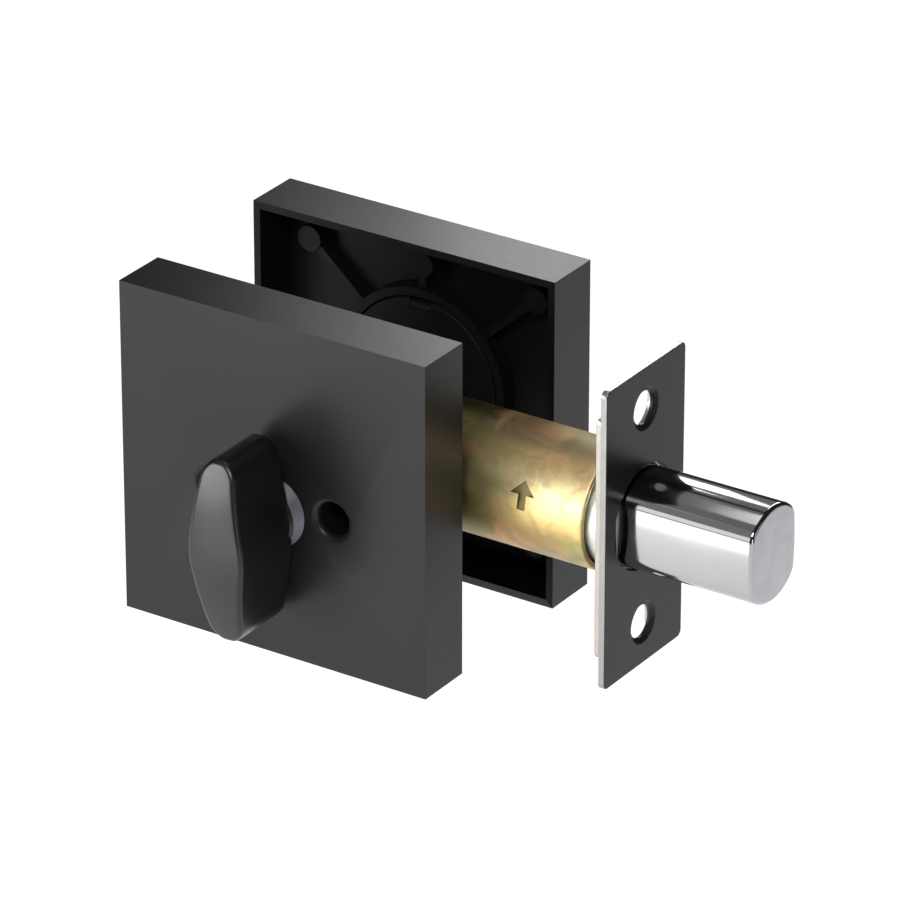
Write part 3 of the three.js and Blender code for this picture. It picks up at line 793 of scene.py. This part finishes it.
def leaf(half_width, half_height, end_half):
    """The thumbturn's outline: widest at mid-height, straight-sided, with blunt round ends."""
    tip = end_half * 0.45
    shoulder = half_height - end_half * 0.6
    corners = [
        (half_width, 0), (end_half, shoulder), (tip, half_height),
        (-tip, half_height), (-end_half, shoulder),
        (-half_width, 0), (-end_half, -shoulder), (-tip, -half_height),
        (tip, -half_height), (end_half, -shoulder),
    ]
    radii = [22 * MM, 4 * MM, 2.4 * MM, 2.4 * MM, 4 * MM] * 2
    return round_corners(corners, radii, 14)


def thumbturn_grip(a, b, rear):
    """The leaf-shaped blade: a bowed front face, a rounded rim, and flanks that run straight back."""
    half_width = (b.x - a.x) / 2
    half_height = (b.z - a.z) / 2
    front = a.y
    outline = resampled(leaf(half_width, half_height, BLADE_END), BLADE_POINTS)
    turn = Matrix.Rotation(BLADE_LEAN, 2)

    def ring(shape, along, bowed=0.0, scale=1.0):
        points = []
        for p in shape:
            spot = turn @ (p * scale)
            bow = BLADE_BOW * (p.y * scale / half_height) ** 2
            crown = BLADE_CROWN * (p.x * scale / half_width) ** 2
            lift = bowed * (bow + crown)
            x = SPINDLE.x + BLADE_SHIFT + spot.x
            points.append(Vector((x, along + lift, SPINDLE.z - BLADE_DROP + spot.y)))
        return points

    rings = [ring(inset(outline, BLADE_EDGE), front, 1, scale) for scale in FACE_SCALES]
    for k in range(BLADE_EDGE_STEPS + 1):
        angle = math.pi / 2 * k / BLADE_EDGE_STEPS
        shrink = BLADE_EDGE * (1 - math.sin(angle))
        rings.append(ring(inset(outline, shrink), front + BLADE_EDGE * (1 - math.cos(angle)), 1))
    for share in FLANK_SHARES:
        rings.append(ring(outline, front + share * BLADE_DEPTH, 1 - share / BOW_FADES_AT))
    for k in range(BLADE_REAR_STEPS + 1):
        angle = math.pi / 2 * k / BLADE_REAR_STEPS
        shrink = BLADE_REAR_EDGE * (1 - math.cos(angle))
        rings.append(ring(inset(outline, shrink), rear - BLADE_REAR_EDGE * (1 - math.sin(angle))))
    return rings_object("thumbturn_grip", rings)


def thumbturn_stem(rear, end):
    """The neck behind the grip and the stem through the rosette, slotted for the tailpiece."""
    neck_end = low("thumbturn_collar").y - NECK_GAP
    stem = lathe("thumbturn_stem", [
        (rear - NECK_SUNK, CORE_RADIUS),
        (rear - NECK_SUNK, NECK_RADIUS - 0.4 * MM),
        (neck_end - 0.1 * MM, NECK_RADIUS),
        (neck_end, NECK_RADIUS - 0.1 * MM),
        (neck_end, STEM_RADIUS),
        (end - STEM_EDGE, STEM_RADIUS),
        (end, STEM_RADIUS - STEM_EDGE),
        (end, CORE_RADIUS),
    ], "Y", (SPINDLE.x, SPINDLE.z), 64)
    cut(stem, box("slot", (-STEM_SLOT_HALF_X, STEM_SLOT_HALF_X), (end - STEM_SLOT_DEPTH, end + PAST),
                  (SPINDLE.z - STEM_SLOT_HALF_Z, SPINDLE.z + STEM_SLOT_HALF_Z)))
    flat_normals(stem)
    return stem


def thumbturn():
    a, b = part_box("thumbturn")
    rear = a.y + BLADE_DEPTH
    blade = thumbturn_grip(a, b, rear)
    stem = thumbturn_stem(rear, b.y)
    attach(stem, BODY_OF["thumbturn"])
    stem.data.materials.append(GRIP_BLACK)
    finish_piece(blade, "thumbturn", [GRIP_BLACK])


COLLAR_BORE = 4.8 * MM
COLLAR_SLOPE = 1.5 * MM


def thumbturn_collar():
    a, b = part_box("thumbturn_collar")
    outer = (b.x - a.x) / 2
    corners = [(a.y, COLLAR_BORE), (a.y, outer - COLLAR_SLOPE), (b.y, outer), (b.y, COLLAR_BORE)]
    profile = round_corners(corners, [0.1 * MM, 0.3 * MM, 0.1 * MM, 0.1 * MM])
    collar = lathe("thumbturn_collar_ring", profile, "Y", (SPINDLE.x, SPINDLE.z))
    flat_normals(collar)
    finish_piece(collar, "thumbturn_collar", [NICKEL])


# ------------------------------------------------------------------ mounting screws

SCREW_SHANK = 1.95 * MM
SCREW_HEAD_LENGTH = 2.1 * MM
SCREW_THREAD_LENGTH = 24 * MM
SCREW_POINT_LENGTH = 1.6 * MM
THREAD_PITCH = 0.8 * MM
THREAD_DEPTH = 0.28 * MM
CROSS_HALF = 0.45 * MM
CROSS_REACH = 1.8 * MM
CROSS_DEPTH = 1.4 * MM


def mounting_screw(node):
    """A domed, cross-slotted machine screw. Its thread is a row of plain rings, not a helix."""
    a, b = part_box(node)
    x, z = (a.x + b.x) / 2, (a.z + b.z) / 2
    head = (b.x - a.x) / 2
    head_end = a.y + SCREW_HEAD_LENGTH
    profile = [
        (a.y + 0.5 * MM, 0.15 * MM), (a.y, 0.5 * MM), (a.y, head * 0.55), (a.y + 0.7 * MM, head * 0.9),
        (a.y + 1.2 * MM, head), (head_end, head), (head_end, SCREW_SHANK),
        (b.y - SCREW_THREAD_LENGTH, SCREW_SHANK),
    ]
    root = SCREW_SHANK - THREAD_DEPTH
    along = b.y - SCREW_THREAD_LENGTH
    while along < b.y - SCREW_POINT_LENGTH:
        profile += [(along + 0.3 * THREAD_PITCH, root), (along + 0.5 * THREAD_PITCH, root),
                    (along + 0.8 * THREAD_PITCH, SCREW_SHANK), (along + THREAD_PITCH, SCREW_SHANK)]
        along += THREAD_PITCH
    profile += [(b.y, SCREW_SHANK - 0.7 * MM), (b.y, 0.15 * MM)]
    screw = lathe(node + "_turned", profile, "Y", (x, z), 64)
    span = (a.y - PAST, a.y + CROSS_DEPTH)
    narrow_x, wide_x = (x - CROSS_HALF, x + CROSS_HALF), (x - CROSS_REACH, x + CROSS_REACH)
    narrow_z, wide_z = (z - CROSS_HALF, z + CROSS_HALF), (z - CROSS_REACH, z + CROSS_REACH)
    cut(screw, box("across", wide_x, span, narrow_z), box("upright", narrow_x, span, wide_z))
    flat_normals(screw)
    finish_piece(screw, node, [BLACK])


# ------------------------------------------------------------------ latch

TUBE_WALL = 1.0 * MM
TOP_SLOT_HALF_X = 18.9 * MM
TOP_SLOT_HALF_Y = 4.6 * MM
TOP_SLOT_BOTTOM = 4 * MM
HUB_HOLE = 5.9 * MM
TUBE_SCREW_HOLE = 2.7 * MM
SEAM_HALF = 0.12 * MM
SEAM_DEPTH = 0.35 * MM
STAMP_X = 41.8 * MM
STAMP_ANGLE = math.radians(18)
STAMP_HEIGHT = 5.2 * MM
STAMP_DEPTH = 0.6 * MM


def latch_tube():
    a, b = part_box("latch_tube")
    outer = (b.y - a.y) / 2
    inner = outer - TUBE_WALL
    profile = round_corners([(a.x, inner), (a.x, outer), (b.x, outer), (b.x, inner)],
                            [0.3 * MM, 0.3 * MM, 0.5 * MM, 0.2 * MM])
    tube = lathe("latch_tube_shell", profile, "X", (0, LATCH.z), 192)
    cut(tube, box("top_slot", (-TOP_SLOT_HALF_X, TOP_SLOT_HALF_X), (-TOP_SLOT_HALF_Y, TOP_SLOT_HALF_Y),
                  (LATCH.z + TOP_SLOT_BOTTOM, LATCH.z + outer + PAST)))
    across = (-outer - PAST, outer + PAST)
    cut(tube, bar("hub_hole", HUB_HOLE, "Y", across, (0, SPINDLE.z)))
    for screw in (SCREW_LEFT, SCREW_RIGHT):
        cut(tube, bar("screw_hole", TUBE_SCREW_HOLE, "Y", across, (screw.x, screw.z), 48))
    cut(tube, box("seam", (a.x - PAST, b.x + PAST), (-SEAM_HALF, SEAM_HALF),
                  (LATCH.z - outer - PAST, LATCH.z - outer + SEAM_DEPTH)))
    cut(tube, arrow_stamp(outer))
    flat_normals(tube)
    skin = 0.1 * MM

    def is_in_stamp_shade(face):
        radius = math.hypot(face.center.y, face.center.z - LATCH.z)
        near_stamp = abs(face.center.x - STAMP_X) < STAMP_HEIGHT and face.center.y < 0
        return 1 if near_stamp and inner + skin < radius < outer - skin else 0

    # Faces down in the stamp take the dimmed zinc: painted shade in the recess.
    finish_piece(tube, "latch_tube", [YELLOW_ZINC, STAMP_SHADE_ZINC], is_in_stamp_shade)


def arrow_stamp(outer):
    """A plain orientation arrow, sunk in the near side of the tube and pointing up."""
    half = STAMP_HEIGHT / 2
    wing = 2.5 * MM
    shaft = 0.8 * MM
    neck = 0.1 * MM
    points = [Vector(p) for p in (
        (-shaft, -half), (shaft, -half), (shaft, neck), (wing, neck),
        (0, half), (-wing, neck), (-shaft, neck))]
    rings = []
    for along in (outer - STAMP_DEPTH, outer + 2 * PAST):
        rings.append([Vector((p.x, -along, p.y)) for p in points])
    stamp = rings_object("stamp", rings)
    turn = Matrix.Rotation(-STAMP_ANGLE, 4, "X")
    stamp.data.transform(Matrix.Translation((STAMP_X, 0, LATCH.z)) @ turn)
    return stamp


PLATE_OPENING = 9.7 * MM
PLATE_HOLE = 3.1 * MM
PLATE_SINK = 4.0 * MM
PLATE_SPACING = 41.3 * MM
PLATE_LAND = 0.55 * MM
PLATE_CORNER = 1.2 * MM
BARE_RIM = 1.5 * MM


def faceplate():
    a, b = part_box("faceplate")
    half_y, half_z = (b.y - a.y) / 2, (b.z - a.z) / 2
    middle = (0, LATCH.z)
    outside = filleted(rectangle(half_y, half_z, PLATE_CORNER), (a.x, b.x), 0.06 * MM, 0.12 * MM)
    opening = filleted(circle(PLATE_OPENING, 128), (a.x, b.x), 0.1 * MM, 0.12 * MM, -1)
    loops = [(middle, outside), (middle, opening)]
    for side in (-1, 1):
        sink = coned([
            (a.x, PLATE_HOLE + 0.08 * MM),
            (a.x + 0.08 * MM, PLATE_HOLE),
            (a.x + PLATE_LAND, PLATE_HOLE),
            (b.x - 0.03 * MM, PLATE_SINK - 0.02 * MM),
            (b.x, PLATE_SINK + 0.04 * MM),
        ])
        loops.append(((0, LATCH.z + side * PLATE_SPACING / 2), sink))
    piece = plate("faceplate_stamping", "X", loops)

    def edge_is_bare(face):
        c = face.center
        near_rim = abs(c.y) > half_y - BARE_RIM or abs(c.z - LATCH.z) > half_z - BARE_RIM
        return 1 if near_rim and abs(face.normal.x) < 0.5 else 0

    finish_piece(piece, "faceplate", [BLACK, CUT_STEEL], edge_is_bare)


def notched_rectangle(half_y, half_z, corner, notch, notch_floor):
    """The backing plate's outline: a round-bottomed notch in the middle of each short end."""
    top = [Vector((half_y, half_z - corner)), Vector((half_y - corner * 0.3, half_z - corner * 0.3)),
           Vector((half_y - corner, half_z)), Vector((notch, half_z)), Vector((notch, notch_floor))]
    top += arc(notch, 0, -math.pi, 24, (0, notch_floor))[1:-1]
    top += [Vector((-p.x, p.y)) for p in reversed(top[:5])]
    bottom = [Vector((-p.x, -p.y)) for p in top]
    return top + bottom


BACKING_CORNER = 1.2 * MM
BACKING_NOTCH = 4.1 * MM
BACKING_OPENING = 10.3 * MM


def backing_plate():
    a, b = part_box("backing_plate")
    half_y, half_z = (b.y - a.y) / 2, (b.z - a.z) / 2
    outline = notched_rectangle(half_y, half_z, BACKING_CORNER, BACKING_NOTCH, PLATE_SPACING / 2)
    outside = filleted(outline, (a.x, b.x), 0.1 * MM, 0.1 * MM)
    opening = filleted(circle(BACKING_OPENING, 128), (a.x, b.x), 0.08 * MM, 0.08 * MM, -1)
    middle = (0, LATCH.z)
    piece = plate("backing_plate_stamping", "X", [(middle, outside), (middle, opening)])
    finish_piece(piece, "backing_plate", [PLATE_ZINC])


SLEEVE_GAP = 0.35 * MM
SLEEVE_BORE = 9.35 * MM
SLEEVE_BORE_HALF = 7.6 * MM
BOLT_CROWN = 0.2 * MM
BOLT_CORNER = 3.2 * MM
BOLT_NOSE_EDGE = 0.8 * MM
BOLT_EDGE = 0.25 * MM
ROLLER_BORE = 3.1 * MM
ROLLER_BORE_END = 4 * MM
TAIL_SLOT_LENGTH = 9 * MM
TAIL_SLOT_HALF = 1.2 * MM
TAIL_SLOT_BOTTOM = 2 * MM


def bolt_sleeve():
    a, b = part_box("bolt_sleeve")
    middle = (0, LATCH.z)
    outside = filleted(circle((b.y - a.y) / 2 - SLEEVE_GAP, 128), (a.x, b.x), 0.15 * MM, 0.15 * MM)
    section = flatted_circle(SLEEVE_BORE, SLEEVE_BORE_HALF, 0, BOLT_CORNER)
    bore = filleted(section, (a.x, b.x), 0.15 * MM, 0.2 * MM, -1)
    piece = plate("bolt_sleeve_liner", "X", [(middle, outside), (middle, bore)])
    finish_piece(piece, "bolt_sleeve", [CLEAR_ZINC])


def deadbolt():
    a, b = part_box("deadbolt")
    radius = (b.z - a.z) / 2
    half_width = (b.y - a.y) / 2
    section = flatted_circle(radius, half_width, BOLT_CROWN, BOLT_CORNER, 48)
    bolt = prism("deadbolt_body", section, "X", (a.x, b.x), (0, LATCH.z), BOLT_NOSE_EDGE)
    roller = (0, centre("roller_pin").z)
    cut(bolt, bar("roller_bore", ROLLER_BORE, "X", (a.x - PAST, b.x - ROLLER_BORE_END), roller))
    cut(bolt, box("tail_slot", (a.x - PAST, a.x + TAIL_SLOT_LENGTH), (-TAIL_SLOT_HALF, TAIL_SLOT_HALF),
                  (LATCH.z + TAIL_SLOT_BOTTOM, LATCH.z + radius + PAST)))
    soften(bolt, BOLT_EDGE, 3, 30)

    def is_nose(face):
        return 1 if face.center.x > b.x - 0.1 * MM and face.normal.x > 0.95 else 0

    finish_piece(bolt, "deadbolt", [CHROME, NOSE], is_nose)


# ------------------------------------------------------------------ cylinder

GUARD_TAPER = 1.0 * MM
HOUSING_BODY = 15.8 * MM
HOUSING_FLANGE = 1.3 * MM
HOUSING_EDGE = 0.15 * MM
PLUG_BORE = 6.5 * MM
FACE_BORE = 7.75 * MM
FACE_BORE_DEPTH = 1.9 * MM
TAPPED_HOLE = 2.05 * MM
COVER_FIT = 0.1 * MM
CHAMBER = 1.6 * MM
CHAMBER_START = 1.1 * MM  # above the plug's axis, well inside the bore that is cut afterwards
PIN_NUMBERS = range(1, 6)
PLUG_BODY = 6.2 * MM
PLUG_STUB = 5.1 * MM
PLUG_FACE_LENGTH = 2.3 * MM
PLUG_EDGE = 0.12 * MM
PLUG_GAP = 0.1 * MM
PLUG_CHAMBER_START = 0.8 * MM
KEYWAY_START = 1.3 * MM


def cylinder_guard():
    a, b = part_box("cylinder_guard")
    base = (b.x - a.x) / 2
    profile = round_corners(
        [(a.y, CYLINDER_HOLE), (a.y, base), (b.y, base - GUARD_TAPER), (b.y, CYLINDER_HOLE)],
        [0.2 * MM, 0.4 * MM, 0.8 * MM, 0.2 * MM])
    guard = lathe("cylinder_guard_ring", profile, "Y", (0, HOUSING.z), 192)
    flat_normals(guard)
    finish_piece(guard, "cylinder_guard", [BLACK])


def cylinder_housing():
    """The body and flange. Chambers are cut before the bore, which takes their lower ends away."""
    a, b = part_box("cylinder_housing")
    flange = (b.x - a.x) / 2
    seat = b.y - HOUSING_FLANGE
    profile = round_corners(
        [(a.y, 0.3 * MM), (a.y, HOUSING_BODY), (seat, HOUSING_BODY),
         (seat, flange), (b.y, flange), (b.y, 0.3 * MM)],
        [0, 0.5 * MM, 0, 0.2 * MM, 0.6 * MM, 0])
    housing = lathe("cylinder_housing_body", profile, "Y", (0, HOUSING.z))
    axis = (0, SPINDLE.z)
    top = low("pin_cover").z - COVER_FIT
    for i in PIN_NUMBERS:
        pin = centre(f"driver_pin_{i}")
        cut(housing, bar("chamber", CHAMBER, "Z", (SPINDLE.z + CHAMBER_START, top + BITE), (0, pin.y), 36))
    cut(housing, bar("plug_bore", PLUG_BORE, "Y", (a.y - PAST, b.y + PAST), axis, 96))
    cut(housing, bar("face_bore", FACE_BORE, "Y", (b.y - FACE_BORE_DEPTH, b.y + PAST), axis, 96))
    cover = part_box("pin_cover")
    cut(housing, box("cover_slot", (cover[0].x - COVER_FIT, cover[1].x + COVER_FIT),
                     (a.y - PAST, cover[1].y + COVER_FIT), (top, HOUSING.z + HOUSING_BODY + PAST)))
    screw_end = high("mounting_screw_left").y
    for screw in (SCREW_LEFT, SCREW_RIGHT):
        cut(housing, bar("tapped", TAPPED_HOLE, "Y", (a.y - PAST, screw_end + PAST), (screw.x, screw.z), 48))
    soften(housing, HOUSING_EDGE, 2, 50)

    def is_flange(face):
        return 1 if face.center.y > seat - 0.05 * MM else 0

    # The body, inside the rosette's hollow, takes the darker black (painted shade); the flange takes the
    # plain black.
    finish_piece(housing, "cylinder_housing", [HOLLOW_SHADE_BLACK, BLACK], is_flange)


def cylinder_plug():
    a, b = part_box("cylinder_plug")
    face = (b.x - a.x) / 2
    step = low("cylinder_housing").y - PLUG_GAP
    shoulder = b.y - PLUG_FACE_LENGTH
    profile = round_corners(
        [(a.y, CORE_RADIUS), (a.y, PLUG_STUB), (step, PLUG_STUB), (step, PLUG_BODY),
         (shoulder, PLUG_BODY), (shoulder, face), (b.y, face), (b.y, CORE_RADIUS)],
        [0, 0.2 * MM, 0, 0.2 * MM, 0, 0.2 * MM, 0.5 * MM, 0])
    plug = lathe("cylinder_plug_body", profile, "Y", (0, SPINDLE.z))
    keyway = [Vector(p) * MM for p in (
        (-1.1, -5.2), (1.1, -5.2), (1.1, -3.0), (0.5, -2.4), (0.5, -1.0), (1.1, -0.4), (1.1, 2.6),
        (-0.3, 2.6), (-0.3, 1.2), (-1.1, 0.6), (-1.1, -1.6), (-0.6, -2.2), (-0.6, -3.2), (-1.1, -3.8))]
    cut(plug, prism("keyway", keyway, "Y", (step + KEYWAY_START, b.y + PAST), (0, SPINDLE.z)))
    chamber_span = (SPINDLE.z + PLUG_CHAMBER_START, SPINDLE.z + PLUG_BODY + PAST)
    for i in PIN_NUMBERS:
        pin = centre(f"key_pin_{i}")
        cut(plug, bar("chamber", CHAMBER, "Z", chamber_span, (0, pin.y), 32))
    soften(plug, PLUG_EDGE, 2, 50)
    finish_piece(plug, "cylinder_plug", [BRASS])


interior_rosette()
exterior_rosette()
thumbturn()
thumbturn_collar()
mounting_screw("mounting_screw_left")
mounting_screw("mounting_screw_right")
latch_tube()
faceplate()
backing_plate()
bolt_sleeve()
deadbolt()
cylinder_guard()
cylinder_housing()
cylinder_plug()


# ------------------------------------------------------------------ studio

FLOOR_DROP = 0.12
FLOOR_HALF = 0.55
FLOOR_GLOW = 0.95
BACKDROP_RADIUS = 3.5
BACKDROP_GLOW = 1.1
STUDIO_SHADE = 0.5


def glowing(name, shade, glow):
    """A plain pale surface that gives off a little light of its own."""
    pale = colour(shade, shade, shade)
    dimmer = colour(0.98 * shade, 0.98 * shade, 0.98 * shade)
    f = Finish(name, pale, 0, 0.9, Specular_IOR_Level=0.05, Emission_Strength=glow)
    f.shader.inputs["Emission Color"].default_value = colour(1, 1, 1)
    f.base(f.mix(f.noise(3, 2), pale, dimmer))
    return f.material


def floor():
    bm = bmesh.new()
    bmesh.ops.create_grid(bm, x_segments=2, y_segments=2, size=FLOOR_HALF)
    plane = object_from("studio_floor", bm, [glowing("pale_floor", STUDIO_SHADE, FLOOR_GLOW)])
    plane.location.z = CAD_BOUNDS[0][2] - FLOOR_DROP


def backdrop():
    """A pale dome round everything, for the camera only: it neither lights nor is reflected."""
    bm = bmesh.new()
    bmesh.ops.create_uvsphere(bm, u_segments=48, v_segments=24, radius=BACKDROP_RADIUS)
    dome = object_from("studio_backdrop", bm, [glowing("pale_backdrop", STUDIO_SHADE, BACKDROP_GLOW)])
    dome.visible_glossy = False
    dome.visible_diffuse = False
    dome.visible_shadow = False


def towards(azimuth, elevation, distance):
    """A point seen from the object at an azimuth from +Y towards +X, and an elevation."""
    turn, lift = math.radians(azimuth), math.radians(elevation)
    across = math.cos(lift)
    return Vector((math.sin(turn) * across, math.cos(turn) * across, math.sin(lift))) * distance


def area_light(name, place, size, power, target):
    data = bpy.data.lights.new(name, "AREA")
    data.shape = "RECTANGLE"
    data.size, data.size_y = size
    data.energy = power
    light = bpy.data.objects.new(name, data)
    light.location = place
    light.rotation_euler = (Vector(place) - Vector(target)).to_track_quat("Z", "Y").to_euler()
    light.visible_camera = False
    bpy.context.scene.collection.objects.link(light)


def world(strength):
    """An even, very dim white from all round."""
    space = bpy.data.worlds.new("studio")
    bpy.context.scene.world = space
    space.use_nodes = True
    background = space.node_tree.nodes["Background"]
    background.inputs["Color"].default_value = colour(1, 1, 1)
    background.inputs["Strength"].default_value = strength


def panel(name, azimuth, elevation, distance, size, radiance, around=Vector((0, 0, 0))):
    """A softbox facing the object or a spot on it, its brightness given as radiance."""
    power = math.pi * size[0] * size[1] * radiance
    area_light(name, around + towards(azimuth, elevation, distance), size, power, around)


def upright(name, xs, zs, y, radiance):
    """A softbox standing upright behind the object and facing straight forwards."""
    width, height = xs[1] - xs[0], zs[1] - zs[0]
    place = ((xs[0] + xs[1]) / 2, y, (zs[0] + zs[1]) / 2)
    area_light(name, place, (width, height), math.pi * width * height * radiance, (place[0], 0, place[2]))


BOLT_SPOT = 9 * MM  # how far behind the nose the bolt's own softboxes are aimed


def lights():
    """Softboxes upright behind, low in front, round the bolt, above, and on the camera's side."""
    upright("rear_left", (-0.12, -0.08), (0.10, 0.22), 0.15, 2.2)
    upright("rear_middle", (-0.08, 0.0), (0.07, 0.15), 0.15, 6.0)
    upright("rear_middle_high", (-0.08, -0.04), (0.15, 0.22), 0.15, 3.2)
    upright("rear_right", (0.04, 0.08), (0.05, 0.22), 0.15, 5.5)
    upright("rear_band", (-0.11, 0.04), (0.035, 0.30), 0.155, 0.25)
    panel("front_low", -145, 6, 0.42, (0.19, 0.19), 9.0)
    bolt_spot = Vector((high("deadbolt").x - BOLT_SPOT, 0, LATCH.z))
    panel("bolt_low", -151, -14, 0.42, (0.25, 0.1), 2.6, bolt_spot)
    panel("bolt_middle", -152, 8, 0.45, (0.25, 0.18), 1.7, bolt_spot)
    panel("bolt_high", -146, 38, 0.5, (0.45, 0.3), 0.36, bolt_spot)
    panel("bolt_top", -98, 62, 0.5, (0.45, 0.36), 0.26, bolt_spot)
    panel("overhead", 0, 88, 0.42, (0.19, 0.19), 1.6)
    panel("right", 85, 5, 0.42, (0.19, 0.19), 0.6)
    panel("right_front", 123, -3, 0.6, (0.1, 0.2), 5.0)
    panel("camera_side", 152, 40, 0.6, (0.2, 0.2), 14.0)


CAMERA_AZIMUTH = math.radians(33.39)
CAMERA_ELEVATION = math.radians(26.22)
CAMERA_DISTANCE = 1.1855
CAMERA_TARGET = Vector((0.01978, 0, 0.00226))
CAMERA_LENS = 270.5
CAMERA_SENSOR = 36
CAMERA_REACH = 20
WORLD_STRENGTH = 0.03


def camera():
    """A long lens at the photo's viewing angle."""
    back = Vector((
        math.sin(CAMERA_AZIMUTH) * math.cos(CAMERA_ELEVATION),
        -math.cos(CAMERA_AZIMUTH) * math.cos(CAMERA_ELEVATION),
        math.sin(CAMERA_ELEVATION),
    ))
    data = bpy.data.cameras.new("photo_view")
    data.lens = CAMERA_LENS
    data.sensor_width = CAMERA_SENSOR
    data.clip_end = CAMERA_REACH
    eye = bpy.data.objects.new("photo_view", data)
    eye.location = CAMERA_TARGET + back * CAMERA_DISTANCE
    eye.rotation_euler = (-back).to_track_quat("-Z", "Y").to_euler()
    bpy.context.scene.collection.objects.link(eye)
    bpy.context.scene.camera = eye


floor()
backdrop()
world(WORLD_STRENGTH)
lights()
camera()

bpy.context.scene.view_settings.view_transform = "Standard"
bpy.context.scene.view_settings.look = "None"
